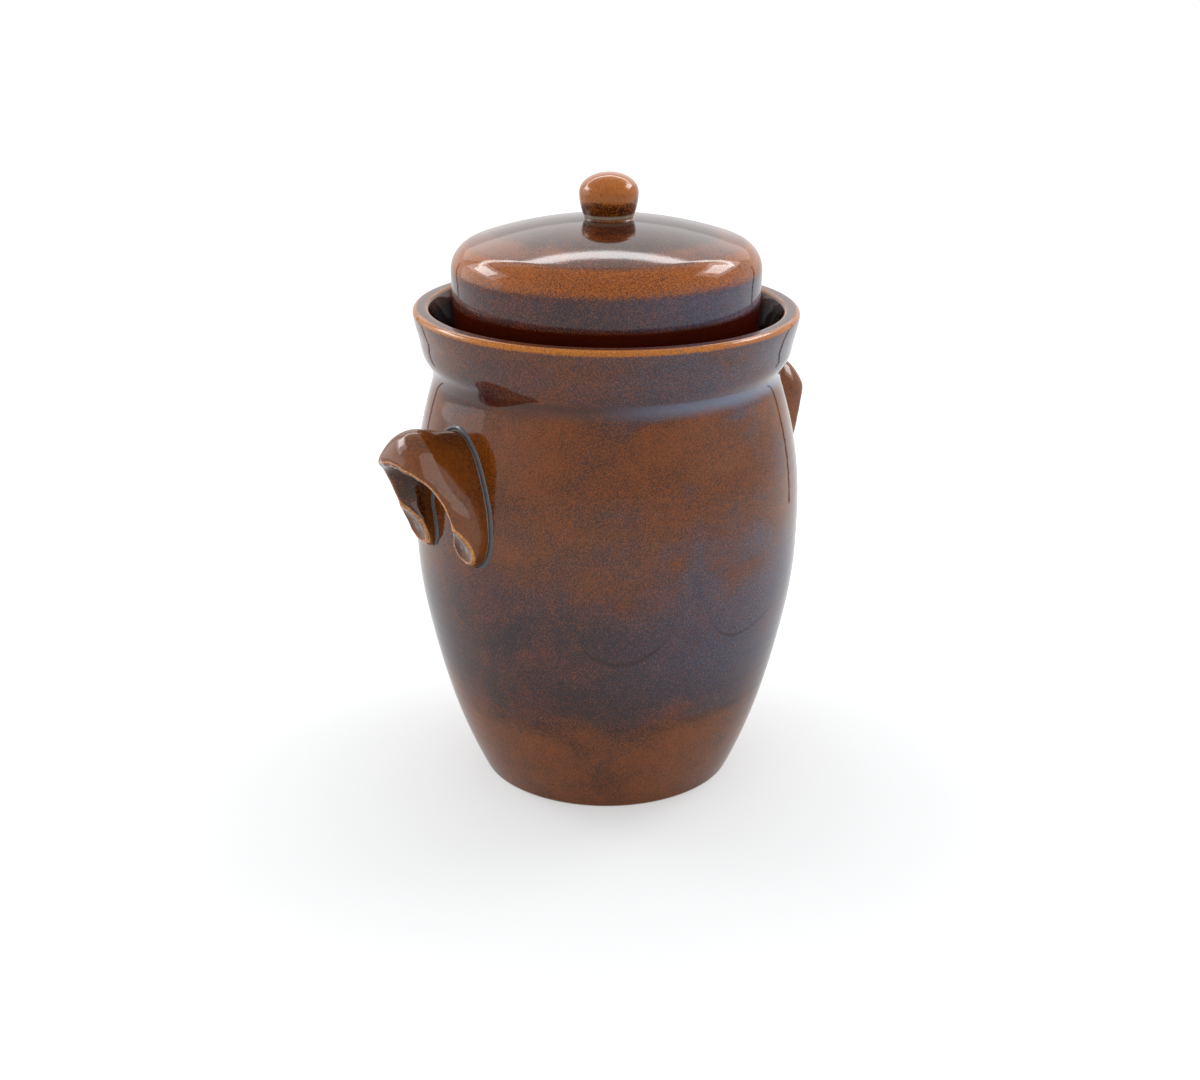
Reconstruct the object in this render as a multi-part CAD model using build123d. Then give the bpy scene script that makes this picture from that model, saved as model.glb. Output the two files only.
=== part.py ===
from build123d import *
import math
import os

# Stoneware rumtopf pot with a water channel round its mouth.
# Millimetres, +Z up, origin in the middle of the flat foot, handles on the X axis.

# Vessel wall
foot_radius = 68.8
belly_radius = 102.2
belly_height = 139.2
shoulder_height = 223.0
wall_thickness = 8.5
floor_thickness = 11.0
foot_rounding = 1.4
floor_corner_radius = 8.0
# Height share from foot to belly, then share of the radius gained on the way
lower_wall_shares = ((0.0, 0.0), (0.2, 0.350), (0.4, 0.608), (0.6, 0.805), (0.8, 0.949), (1.0, 1.0))
# Height share from belly to cove, then share of the radius lost on the way
upper_wall_shares = ((0.34, 0.060), (0.67, 0.448), (0.88, 0.850), (1.0, 1.0))
# Radius gained per height where the wall leaves the foot
foot_flare_share = 0.47

# Shoulder under the channel, and the neck that the lid stands round
shoulder_thickness = 9.0
shoulder_corner_radius = 9.0
neck_inner_radius = 62.5
neck_thickness = 7.0
neck_rise = 2.0
neck_rounding = 2.8
throat_rounding = 4.0

# Collar, the outer wall of the water channel
collar_height = 32.8
rim_thickness = 8.35
rim_rounding = 2.4
channel_clearance = 3.2
channel_flare = 8.65
collar_base_thickness = 7.6
channel_corner_height = 4.0
channel_corner_lean = 1.2
# Height share from cove to rim, then share of the radius gained on the way
collar_wall_shares = ((0.10, 0.10), (0.24, 0.405), (0.50, 0.640), (0.80, 0.893), (1.0, 1.0))
# Radius gained per height at the rim
rim_flare_share = 0.16

# Lid
skirt_clearance = 3.8
skirt_thickness = 6.5
lid_rise = 44.4
lid_thickness = 7.0
dome_radius = 214.0
lid_corner_radius = 15.0
lid_inner_corner_radius = 6.0
skirt_rounding = 1.6
vent_radius = 4.0

# Knob on the lid
knob_base_radius = 12.6
knob_radius = 15.2
knob_height = 22.9
knob_waist_height = 13.0
knob_cap_degrees = (25, 50, 72)
# Radius gained per height where the knob leaves the lid
knob_flare_share = 0.62
knob_offset_x = 0.9
knob_offset_y = -0.8

# Ear handle: a strap of clay bent to an arch, luted on along one edge
arch_half_width = 23.0
arch_height = 57.0
arch_drop = 22.5
handle_reach = 38.3
strap_thickness = 9.6
handle_embed = 4.0
handle_slip_gap = 0.15
strap_rise = 10.0
strap_droop = 15.0
strap_splay = 10.0
strap_edge_rounding = 2.4
strap_corner_share = 0.35
strap_flank_share = 0.35
# Places on the arch's centre line from foot to crown, as shares of its half width and height
arch_shares = ((0.78, 0.0), (0.86, 0.12), (0.96, 0.28), (0.97, 0.47), (0.76, 0.71), (0.39, 0.92), (0.0, 1.0))
# Share of the way from foot to crown, then shares of the reach, of the strap's thickness at the wall
# and of half that thickness at the free edge
strap_shares = (
    (0.0, 0.09, 0.95, 0.90),
    (0.04, 0.16, 1.40, 0.95),
    (0.11, 0.24, 1.68, 0.97),
    (0.22, 0.33, 1.62, 0.90),
    (0.34, 0.43, 1.22, 0.72),
    (0.48, 0.55, 1.00, 0.58),
    (0.62, 0.69, 0.97, 0.52),
    (0.76, 0.86, 0.97, 0.52),
    (0.90, 0.97, 0.97, 0.52),
    (1.0, 1.0, 0.97, 0.52),
)

# Thumb prints that press the handle's feet onto the wall
thumb_radius = 24.0
thumb_depth = 3.4
thumb_rise = 10.5
thumb_stand = 8.8
thumb_side = 20.2
thumb_tilt_degrees = -25.0

# Pair of half-moon weight stones that hold the fruit under the liquid
stone_side_clearance = 8.0
stone_thickness = 16.0
stone_split_gap = 3.0
stone_rounding = 2.6
finger_hole_radius = 9.0
finger_hole_share = 0.46

# Length by which a cutting body runs past the faces that it cuts
overrun = 6.0
# How often the search for a point on the wall halves its step
halvings = 40

# From the mouth outwards: neck, lid skirt, channel, collar
neck_outer_radius = neck_inner_radius + neck_thickness
skirt_inner_radius = neck_outer_radius + skirt_clearance
skirt_radius = skirt_inner_radius + skirt_thickness
channel_floor_radius = skirt_radius + channel_clearance
cove_radius = channel_floor_radius + collar_base_thickness
lip_radius = channel_floor_radius + channel_flare
rim_radius = lip_radius + rim_thickness
stone_radius = neck_inner_radius - stone_side_clearance

# From the shoulder down to the ceiling and the handles, and up to the rim, the neck and the lid
ceiling_height = shoulder_height - shoulder_thickness
arch_foot_height = shoulder_height - arch_drop - arch_height
rim_height = shoulder_height + collar_height
neck_top_height = rim_height + neck_rise
lid_crown_height = rim_height + lid_rise


def wall_points(inset):
    """Points up the vessel's outer wall, each moved towards the axis by inset."""
    gained = belly_radius - foot_radius
    lost = belly_radius - cove_radius
    climb = shoulder_height - belly_height
    lower = [(foot_radius + gained * r - inset, belly_height * h) for h, r in lower_wall_shares]
    upper = [(belly_radius - lost * r - inset, belly_height + climb * h) for h, r in upper_wall_shares]
    return lower + upper


def wall_line(inset):
    """The vessel's outer wall from foot to shoulder, moved towards the axis by inset."""
    return Spline(wall_points(inset), tangents=[(foot_flare_share, 1), (0, 1)])


def wall_radius(height):
    """Radius of the vessel's outer wall at a height."""
    line = wall_line(0)
    low, high = 0, 1
    for _ in range(halvings):
        middle = (low + high) / 2
        if (line @ middle).Y < height:
            low = middle
        else:
            high = middle
    return (line @ low).X


def dome_drop(radius, ball):
    """How far a ball's surface has fallen at a distance from its top."""
    return ball - math.sqrt(ball**2 - radius**2)


def turned(*edges):
    """Solid of revolution about the Z axis from edges drawn as (radius, height)."""
    outline = Plane.XZ * make_face(Curve() + list(edges))
    return revolve(outline, Axis.Z)


def ring_edges(solid, radius, height, reach):
    """Circular edges of a turned solid near a radius and height."""
    found = []
    for edge in solid.edges().filter_by(GeomType.CIRCLE):
        if math.hypot(edge.radius - radius, edge.arc_center.Z - height) < reach:
            found.append(edge)
    return found


def bulk(inset):
    """Solid body of the vessel's wall outline up to the shoulder, moved inwards by inset."""
    points = wall_points(inset)
    foot, top = points[0], points[-1]
    return turned(
        wall_line(inset),
        Line(top, (0, top[1])),
        Line((0, top[1]), (0, foot[1])),
        Line((0, foot[1]), foot),
    )


def standing(radius, low, high):
    """Upright cylinder on the Z axis between two heights."""
    return Pos(0, 0, low) * Cylinder(radius, high - low, align=(Align.CENTER, Align.CENTER, Align.MIN))


def make_cavity():
    """The space inside the vessel, below the neck."""
    low = (wall_radius(floor_thickness) - wall_thickness, floor_thickness)
    high = (wall_radius(ceiling_height) - wall_thickness, ceiling_height)
    lowest = floor_thickness + wall_thickness
    highest = ceiling_height - wall_thickness
    between = [point for point in wall_points(wall_thickness) if lowest < point[1] < highest]
    space = turned(
        Spline([low] + between + [high]),
        Line(high, (0, ceiling_height)),
        Line((0, ceiling_height), (0, floor_thickness)),
        Line((0, floor_thickness), low),
    )
    space = fillet(ring_edges(space, low[0], floor_thickness, wall_thickness), floor_corner_radius)
    return fillet(ring_edges(space, high[0], ceiling_height, wall_thickness), shoulder_corner_radius)


def make_crock_body():
    """Vessel with foot, wall, floor, shoulder and the neck round its mouth."""
    body = bulk(0) + standing(neck_outer_radius, shoulder_height - overrun, neck_top_height)
    body -= make_cavity()
    body -= standing(neck_inner_radius, ceiling_height - overrun, neck_top_height + overrun)
    body = fillet(ring_edges(body, foot_radius, 0, foot_rounding), foot_rounding)
    body = fillet(ring_edges(body, neck_inner_radius, ceiling_height, throat_rounding), throat_rounding)
    top = ring_edges(body, neck_inner_radius, neck_top_height, neck_rounding)
    top += ring_edges(body, neck_outer_radius, neck_top_height, neck_rounding)
    return fillet(top, neck_rounding)


def make_collar():
    """Outer wall of the water channel, which stands on the shoulder and flares to the rim."""
    outer = [(cove_radius, shoulder_height)]
    for height_share, radius_share in collar_wall_shares:
        radius = cove_radius + (rim_radius - cove_radius) * radius_share
        outer.append((radius, shoulder_height + collar_height * height_share))
    lip = (lip_radius, rim_height)
    corner = (channel_floor_radius, shoulder_height + channel_corner_height)
    seat = (channel_floor_radius - channel_corner_lean, shoulder_height)
    collar = turned(
        Spline(outer, tangents=[(0, 1), (rim_flare_share, 1)]),
        Line(outer[-1], lip),
        Line(lip, corner),
        Line(corner, seat),
        Line(seat, outer[0]),
    )
    edges = ring_edges(collar, rim_radius, rim_height, rim_rounding)
    edges += ring_edges(collar, lip_radius, rim_height, rim_rounding)
    return fillet(edges, rim_rounding)


def make_lid_shell():
    """Domed lid with the skirt that stands in the water channel."""
    seat_height = lid_crown_height - dome_drop(knob_base_radius, dome_radius)
    eave_height = lid_crown_height - dome_drop(skirt_radius, dome_radius)
    inner_dome = dome_radius - lid_thickness
    inner_crown = lid_crown_height - lid_thickness
    inner_eave = inner_crown - dome_drop(skirt_inner_radius, inner_dome)
    outside = turned(
        Line((0, shoulder_height), (skirt_radius, shoulder_height)),
        Line((skirt_radius, shoulder_height), (skirt_radius, eave_height)),
        RadiusArc((skirt_radius, eave_height), (knob_base_radius, seat_height), -dome_radius),
        Line((knob_base_radius, seat_height), (0, seat_height)),
        Line((0, seat_height), (0, shoulder_height)),
    )
    outside = fillet(ring_edges(outside, skirt_radius, eave_height, skirt_thickness), lid_corner_radius)
    inside = turned(
        Line((0, shoulder_height - overrun), (skirt_inner_radius, shoulder_height - overrun)),
        Line((skirt_inner_radius, shoulder_height - overrun), (skirt_inner_radius, inner_eave)),
        RadiusArc((skirt_inner_radius, inner_eave), (0, inner_crown), -inner_dome),
        Line((0, inner_crown), (0, shoulder_height - overrun)),
    )
    eaves = ring_edges(inside, skirt_inner_radius, inner_eave, skirt_thickness)
    inside = fillet(eaves, lid_inner_corner_radius)
    shell = outside - inside
    foot_edges = ring_edges(shell, skirt_radius, shoulder_height, skirt_rounding)
    foot_edges += ring_edges(shell, skirt_inner_radius, shoulder_height, skirt_rounding)
    shell = fillet(foot_edges, skirt_rounding)
    vents = Pos(0, 0, shoulder_height) * Rot(90, 0, 0) * Cylinder(vent_radius, (skirt_radius + overrun) * 2)
    return shell - vents


def make_knob():
    """Round knob, standing on the flat spot at the top of the lid."""
    base_height = lid_crown_height - dome_drop(knob_base_radius, dome_radius)
    widest = (knob_radius, base_height + knob_waist_height)
    base = (knob_base_radius, base_height)
    top = (0, base_height + knob_height)
    cap_height = knob_height - knob_waist_height
    cap = [widest]
    for angle in knob_cap_degrees:
        turn = math.radians(angle)
        cap.append((knob_radius * math.cos(turn), widest[1] + cap_height * math.sin(turn)))
    cap.append(top)
    knob = turned(
        Spline([base, widest], tangents=[(knob_flare_share, 1), (0, 1)]),
        Spline(cap, tangents=[(0, 1), (-1, 0)]),
        Line(top, (0, base_height)),
        Line((0, base_height), base),
    )
    return Pos(knob_offset_x, knob_offset_y, 0) * knob


def strap_at(share):
    """Reach, thickness and front width of the handle's strap at a share of the way from foot to crown."""
    for low, high in zip(strap_shares, strap_shares[1:]):
        if share <= high[0]:
            part = (share - low[0]) / (high[0] - low[0])
            reach, thickness, front = [a + (b - a) * part for a, b in zip(low[1:], high[1:])]
            return handle_reach * reach, strap_thickness * thickness, strap_thickness * thickness * front
    return handle_reach, strap_thickness, strap_thickness


def arch_line():
    """Centre line of the handle's arch on the wall, drawn as (side, height) from foot to foot."""
    half = [(arch_half_width * s, arch_foot_height + arch_height * h) for s, h in arch_shares]
    return Spline(half + [(-side, height) for side, height in reversed(half[:-1])])


def strap_section(line, position, reach, thickness, front):
    """Outline across the strap at a position on the arch. It rises from the wall, then droops."""
    place = line @ position
    along = line % position
    across = Vector(0, along.Y, -along.X)
    wall = wall_radius(place.Y)
    origin = Vector(math.sqrt(wall**2 - place.X**2), place.X, place.Y)
    half = thickness / 2
    tip = front / 2
    bend = math.sin(math.pi * position)

    def at(side, out):
        far_share = max(out, 0) / handle_reach
        splay = strap_splay * far_share**2 * place.X / arch_half_width
        lift = strap_rise * far_share - strap_droop * far_share**3
        return origin + across * side + Vector(out, splay * bend, lift * bend)

    corner = reach - min(strap_edge_rounding, reach * strap_corner_share)
    side_points = [(half, -handle_embed), (half, reach * strap_flank_share), (tip, corner)]
    points = [at(side, out) for side, out in side_points]
    points.append(at(0, reach))
    points += [at(-side, out) for side, out in reversed(side_points)]
    return Wire([Spline(points), Line(points[-1], points[0])])


def make_handle():
    """Ear handle on the +X side, with a thumb print in each foot."""
    line = arch_line()
    shares = [row[0] for row in strap_shares]
    places = [share / 2 for share in shares] + [1 - share / 2 for share in reversed(shares[:-1])]
    sections = []
    for place in places:
        sections.append(strap_section(line, place, *strap_at(1 - abs(place * 2 - 1))))
    handle = Solid.make_loft(sections)
    tilt = math.radians(thumb_tilt_degrees)
    away = Vector(math.cos(tilt), 0, math.sin(tilt)) * (thumb_radius - thumb_depth)
    for side in (-thumb_side, thumb_side):
        height = arch_foot_height + thumb_rise
        print_place = Vector(wall_radius(height) + thumb_stand, side, height) + away
        handle -= Pos(print_place) * Sphere(thumb_radius)
    return handle - bulk(-handle_slip_gap)


def make_stone():
    """One half-moon weight stone on the +X side, with a finger hole through it."""
    disc = standing(stone_radius, floor_thickness, floor_thickness + stone_thickness)
    keep = Pos(stone_split_gap / 2, 0, floor_thickness) * Box(
        stone_radius, stone_radius * 2, stone_thickness, align=(Align.MIN, Align.CENTER, Align.MIN)
    )
    stone = disc & keep
    stone = fillet(stone.edges(), stone_rounding)
    hole = Pos(stone_radius * finger_hole_share, 0, 0) * standing(
        finger_hole_radius, floor_thickness - overrun, floor_thickness + stone_thickness + overrun
    )
    return stone - hole


def mirrored(solid):
    """The same piece on the -X side."""
    return mirror(solid, about=Plane.YZ)


handle = make_handle()
stone = make_stone()
pieces = {
    "crock_body": make_crock_body(),
    "water_channel_collar": make_collar(),
    "left_handle": mirrored(handle),
    "right_handle": handle,
    "lid_shell": make_lid_shell(),
    "lid_knob": make_knob(),
    "left_weight_stone": mirrored(stone),
    "right_weight_stone": stone,
}

os.makedirs("parts", exist_ok=True)
for name, piece in pieces.items():
    export_step(piece, f"parts/{name}.step")
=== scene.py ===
"""Glazed stoneware rumtopf pot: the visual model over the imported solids.

Sizes in the classes are millimetres and angles are degrees. The origin is the middle of the flat foot,
+Z is up and the two handles lie on the X axis.
"""

import bisect
import logging
import math
from collections.abc import Callable
from dataclasses import dataclass
from enum import Enum
from functools import partial

import bmesh
import bpy
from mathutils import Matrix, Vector


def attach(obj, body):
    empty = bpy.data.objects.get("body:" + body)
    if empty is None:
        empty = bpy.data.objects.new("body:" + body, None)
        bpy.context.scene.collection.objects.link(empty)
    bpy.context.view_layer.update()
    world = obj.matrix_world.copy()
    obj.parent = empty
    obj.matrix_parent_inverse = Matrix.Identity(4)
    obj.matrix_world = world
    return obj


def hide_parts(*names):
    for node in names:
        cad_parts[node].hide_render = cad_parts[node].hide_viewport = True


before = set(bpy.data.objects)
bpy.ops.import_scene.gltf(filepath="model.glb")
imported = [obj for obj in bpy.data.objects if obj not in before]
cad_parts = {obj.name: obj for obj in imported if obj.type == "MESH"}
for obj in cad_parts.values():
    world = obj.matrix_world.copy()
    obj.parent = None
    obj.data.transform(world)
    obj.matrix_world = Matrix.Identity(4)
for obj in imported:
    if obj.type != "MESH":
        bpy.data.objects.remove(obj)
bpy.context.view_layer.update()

MM = 0.001
BREAK_LAYER = "glaze_break"
DEPTH_LAYER = "glaze_depth"
AIM = 170.0  # height of the pot's middle, where the lamps point
CERAMIC_IOR = 1.5  # typical of fired glaze and of clay
log = logging.getLogger("rumtopf")

Point = tuple[float, float]
Place = tuple[float, float, float]
Span = tuple[float, float]  # where something starts and where it is full
Socket = bpy.types.NodeSocket


class Side(Enum):
    """Which end of the X axis a paired piece stands at."""

    LEFT = -1
    RIGHT = 1


class Kind(Enum):
    """Shader nodes that the finishes use, as node type, settings, inputs in order and wanted output.

    SCALED multiplies and then adds. RAMP and EASE take a value, where it starts and ends, and the results there, and
    EASE goes over smoothly. NOISE takes a place, its scale, its octaves and the strength of the finer ones.
    """

    ANGLE = ("Math", {"operation": "ARCTAN2"}, (0, 1), 0)
    CLAMPED = ("Math", {"operation": "MULTIPLY_ADD", "use_clamp": True}, (0, 1, 2), 0)
    COSINE = ("Math", {"operation": "COSINE"}, (0,), 0)
    DIFFERENCE = ("Math", {"operation": "SUBTRACT"}, (0, 1), 0)
    FRACTION = ("Math", {"operation": "FRACT"}, (0,), 0)
    GREATER = ("Math", {"operation": "MAXIMUM"}, (0, 1), 0)
    PRODUCT = ("Math", {"operation": "MULTIPLY"}, (0, 1), 0)
    REST = ("Math", {"operation": "SUBTRACT", "use_clamp": True}, (0, 1), 0)
    ROOT = ("Math", {"operation": "SQRT"}, (0,), 0)
    SCALED = ("Math", {"operation": "MULTIPLY_ADD"}, (0, 1, 2), 0)
    SIZE = ("Math", {"operation": "ABSOLUTE"}, (0,), 0)
    SUM = ("Math", {"operation": "ADD"}, (0, 1), 0)
    RAMP = ("MapRange", {}, (0, 1, 2, 3, 4), 0)
    EASE = ("MapRange", {"interpolation_type": "SMOOTHSTEP"}, (0, 1, 2, 3, 4), 0)
    BLEND = ("Mix", {"data_type": "RGBA"}, (0, 6, 7), 2)
    CHOICE = ("Mix", {"data_type": "FLOAT"}, (0, 2, 3), 0)
    PLACE = ("TexCoord", {}, (), "Object")
    WAY = ("TexCoord", {}, (), "Generated")
    X = ("SeparateXYZ", {}, (0,), "X")
    Y = ("SeparateXYZ", {}, (0,), "Y")
    Z = ("SeparateXYZ", {}, (0,), "Z")
    DOT = ("VectorMath", {"operation": "DOT_PRODUCT"}, (0, 1), "Value")
    LENGTH = ("VectorMath", {"operation": "LENGTH"}, (0,), "Value")
    STRETCH = ("VectorMath", {"operation": "MULTIPLY"}, (0, 1), 0)
    ATTRIBUTE = ("Attribute", {}, (), "Fac")
    CAMERA_RAY = ("LightPath", {}, (), "Is Camera Ray")
    GLOSSY_RAY = ("LightPath", {}, (), "Is Glossy Ray")
    NOISE = ("TexNoise", {}, ("Vector", "Scale", "Detail", "Roughness"), 0)
    CELLS = ("TexVoronoi", {}, ("Vector", "Scale"), "Distance")
    BUMP = ("Bump", {}, ("Height", "Distance", "Strength"), 0)
    BOTH = ("AddShader", {}, (0, 1), 0)
    EITHER = ("MixShader", {}, (0, 1, 2), 0)
    DIFFUSE = ("BsdfDiffuse", {}, ("Color",), 0)
    GLOW = ("Emission", {}, ("Color", "Strength"), 0)
    SKY = ("Background", {}, ("Color", "Strength"), 0)
    GLOSSY = ("BsdfPrincipled", {}, ("Base Color", "Roughness", "IOR", "Normal"), 0)


# ---------------------------------------------------------------------------------------------
# Colours, nodes and places


def linear(code: str) -> tuple[float, float, float, float]:
    """Turn an sRGB hex colour to linear light.

    Args:
        code: colour such as "#8a4a1c".

    Returns:
        Red, green, blue and an alpha of 1.
    """
    parts = [int(code[at : at + 2], 16) / 255 for at in (1, 3, 5)]
    red, green, blue = (c / 12.92 if c <= 0.04045 else ((c + 0.055) / 1.055) ** 2.4 for c in parts)
    return red, green, blue, 1.0


def add(tree: bpy.types.NodeTree, kind: Kind, *values: object, **settings: object) -> Socket:
    """Add one node with its settings and links.

    Args:
        tree: node tree that gets the node.
        kind: what the node is.
        values: what its inputs get in order: a number, a vector, a hex colour or the socket that feeds it.
        settings: more settings by name.

    Returns:
        The wanted output.
    """
    name, fixed, inputs, output = kind.value
    node = tree.nodes.new(f"ShaderNode{name}")
    for setting, choice in {**fixed, **settings}.items():
        setattr(node, setting, choice)
    for socket, value in zip(inputs, values):
        if isinstance(value, Socket):
            tree.links.new(value, node.inputs[socket])
        else:
            node.inputs[socket].default_value = linear(value) if isinstance(value, str) else value
    return node.outputs[output]


def new_material(name: str) -> tuple[bpy.types.Material, bpy.types.NodeTree, Socket]:
    """Make an empty node material.

    Args:
        name: name of the material.

    Returns:
        The material, its node tree and the input for its surface.
    """
    material = bpy.data.materials.new(name)
    material.use_nodes = True
    tree = material.node_tree
    tree.nodes.clear()
    return material, tree, tree.nodes.new("ShaderNodeOutputMaterial").inputs["Surface"]


def linked(name: str, data: bpy.types.ID) -> bpy.types.Object:
    """Put a mesh, a lamp or a camera into the scene.

    Args:
        name: name of the object.
        data: what it shows.

    Returns:
        The new object.
    """
    thing = bpy.data.objects.new(name, data)
    bpy.context.scene.collection.objects.link(thing)
    return thing


def stand(turn: float, distance: float, height: float) -> Vector:
    """Place round the pot in metres.

    Args:
        turn: angle from the camera's side.
        distance: level distance from the pot's axis.
        height: height over the floor.

    Returns:
        The place.
    """
    angle = math.radians(Camera.azimuth + turn)
    return Vector((math.sin(angle) * distance, -math.cos(angle) * distance, height)) * MM


# ---------------------------------------------------------------------------------------------
# Lines and meshes


class SmoothLine:
    """Cubic curve through points, with its speed close to one along its length."""

    def __init__(self, points: list[Point], start: Point | None = None, end: Point | None = None) -> None:
        """Fit the curve.

        Args:
            points: points that the curve passes.
            start: direction at the first point, or None to leave it free.
            end: direction at the last point, or None to leave it free.
        """
        self.points = points
        self.knots = [0.0]
        for low, high in zip(points, points[1:]):
            self.knots.append(self.knots[-1] + math.dist(low, high))
        self.bends = [self._fit(axis, start, end) for axis in (0, 1)]

    def _fit(self, axis: int, start: Point | None, end: Point | None) -> list[float]:
        """Second derivatives of one coordinate at the knots.

        Args:
            axis: 0 or 1, the coordinate.
            start: direction at the first point, or None.
            end: direction at the last point, or None.

        Returns:
            One value for each point.
        """
        value = [point[axis] for point in self.points]
        last = len(value) - 1
        gap = [high - low for low, high in zip(self.knots, self.knots[1:])]
        slope = [(high - low) / step for low, high, step in zip(value, value[1:], gap)]
        below = [0.0] * (last + 1)
        middle = [1.0] * (last + 1)
        above = [0.0] * (last + 1)
        right = [0.0] * (last + 1)
        for at in range(1, last):
            below[at] = gap[at - 1]
            middle[at] = 2 * (gap[at - 1] + gap[at])
            above[at] = gap[at]
            right[at] = 6 * (slope[at] - slope[at - 1])
        if start is not None:
            middle[0] = 2 * gap[0]
            above[0] = gap[0]
            right[0] = 6 * (slope[0] - start[axis] / math.hypot(*start))
        if end is not None:
            below[last] = gap[-1]
            middle[last] = 2 * gap[-1]
            right[last] = 6 * (end[axis] / math.hypot(*end) - slope[-1])
        for at in range(1, last + 1):
            share = below[at] / middle[at - 1]
            middle[at] -= share * above[at - 1]
            right[at] -= share * right[at - 1]
        bends = [0.0] * (last + 1)
        bends[last] = right[last] / middle[last]
        for at in range(last - 1, -1, -1):
            bends[at] = (right[at] - above[at] * bends[at + 1]) / middle[at]
        return bends

    def at(self, share: float) -> Point:
        """Find a point of the curve.

        Args:
            share: share of the way along.

        Returns:
            The point.
        """
        along = share * self.knots[-1]
        spot = min(max(bisect.bisect_right(self.knots, along) - 1, 0), len(self.knots) - 2)
        gap = self.knots[spot + 1] - self.knots[spot]
        ahead = (along - self.knots[spot]) / gap
        behind = 1 - ahead
        found = []
        for axis in (0, 1):
            low, high = self.points[spot][axis], self.points[spot + 1][axis]
            low_bend, high_bend = self.bends[axis][spot], self.bends[axis][spot + 1]
            curve = (behind**3 - behind) * low_bend + (ahead**3 - ahead) * high_bend
            found.append(behind * low + ahead * high + curve * gap**2 / 6)
        return found[0], found[1]

    def direction(self, share: float) -> Point:
        """Find the curve's direction.

        Args:
            share: share of the way along.

        Returns:
            Direction of length 1.
        """
        low, high = self.at(max(share - 1e-4, 0)), self.at(min(share + 1e-4, 1))
        size = math.dist(low, high)
        return (high[0] - low[0]) / size, (high[1] - low[1]) / size

    def sampled(self, step: float) -> list[Point]:
        """Points along the curve, about a step apart."""
        count = max(int(self.knots[-1] / step), 2)
        return [self.at(at / count) for at in range(count + 1)]


def away_from(points: list[Point], corner: Point, gap: float) -> list[Point]:
    """The points that lie further than a gap from a corner."""
    return [point for point in points if math.dist(point, corner) > gap]


def rounded(path: list[Point | tuple[float, float, float]], step: float = 3.0) -> list[Point]:
    """Round the corners of a path and fill in its long straight runs.

    Args:
        path: points of the path, where a third number is the radius of that corner.
        step: longest straight run between two points.

    Returns:
        Points of the rounded path.
    """
    corners: list[Point] = []
    for at, spot in enumerate(path):
        if len(spot) == 2:
            corners.append((spot[0], spot[1]))
            continue
        here = Vector(spot[:2])
        back = (Vector(path[at - 1][:2]) - here).normalized()
        ahead = (Vector(path[at + 1][:2]) - here).normalized()
        half = back.angle(ahead) / 2
        reach = spot[2] / math.tan(half)
        centre = here + (back + ahead).normalized() * spot[2] / math.sin(half)
        first = here + back * reach - centre
        last = here + ahead * reach - centre
        sweep = first.angle(last)
        turn = math.copysign(sweep, first.x * last.y - first.y * last.x)
        count = max(int(sweep / math.radians(9)), 3)
        for part in range(count + 1):
            angle = turn * part / count
            x = first.x * math.cos(angle) - first.y * math.sin(angle)
            y = first.x * math.sin(angle) + first.y * math.cos(angle)
            corners.append((centre.x + x, centre.y + y))
    line = [corners[0]]
    for low, high in zip(corners, corners[1:]):
        count = max(math.ceil(math.dist(low, high) / step), 1)
        for part in range(1, count + 1):
            share = part / count
            line.append((low[0] + (high[0] - low[0]) * share, low[1] + (high[1] - low[1]) * share))
    return line


def line_breaks(line: list[Point], spread: float = 2.2) -> list[float]:
    """How sharply an outline turns near each point: above zero on an edge, below zero in a hollow.

    Args:
        line: outline with the clay on its left.
        spread: how far a turn is felt along the line.

    Returns:
        Turn in radians for each millimetre, for each point.
    """
    places = [0.0]
    for low, high in zip(line, line[1:]):
        places.append(places[-1] + math.dist(low, high))
    turns = [0.0] * len(line)
    for at in range(1, len(line) - 1):
        back = (line[at][0] - line[at - 1][0], line[at][1] - line[at - 1][1])
        ahead = (line[at + 1][0] - line[at][0], line[at + 1][1] - line[at][1])
        cross = back[0] * ahead[1] - back[1] * ahead[0]
        turns[at] = math.atan2(cross, back[0] * ahead[0] + back[1] * ahead[1])
    found = []
    for here in places:
        first = bisect.bisect_left(places, here - spread * 3)
        last = bisect.bisect_right(places, here + spread * 3)
        weight = [math.exp(-(((places[at] - here) / spread) ** 2)) for at in range(first, last)]
        total = sum(share * turns[at] for share, at in zip(weight, range(first, last)))
        found.append(total / (spread * math.sqrt(math.pi)))
    return found


def make_object(
    name: str,
    places: list[Place],
    faces: list[tuple[int, ...]],
    breaks: list[float] | None = None,
    depths: list[float] | None = None,
) -> bpy.types.Object:
    """Make a smooth mesh object.

    Args:
        name: name of the object.
        places: vertex places in millimetres.
        faces: vertex numbers of each face.
        breaks: how sharply the surface turns at each vertex, for the glaze, or None for a bare piece.
        depths: how much thicker, and so darker, the glaze lies at each vertex, or None for no difference; on the
            handles this is partly painted shade.

    Returns:
        The new object, linked to the scene.
    """
    mesh = bpy.data.meshes.new(name)
    mesh.from_pydata([(x * MM, y * MM, z * MM) for x, y, z in places], [], faces)
    shape = bmesh.new()
    shape.from_mesh(mesh)
    bmesh.ops.recalc_face_normals(shape, faces=shape.faces)
    shape.to_mesh(mesh)
    shape.free()
    for layer, values in ((BREAK_LAYER, breaks), (DEPTH_LAYER, depths)):
        mesh.attributes.new(layer, "FLOAT", "POINT").data.foreach_set("value", values or [0.0] * len(places))
    mesh.polygons.foreach_set("use_smooth", [True] * len(mesh.polygons))
    return linked(name, mesh)


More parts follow.
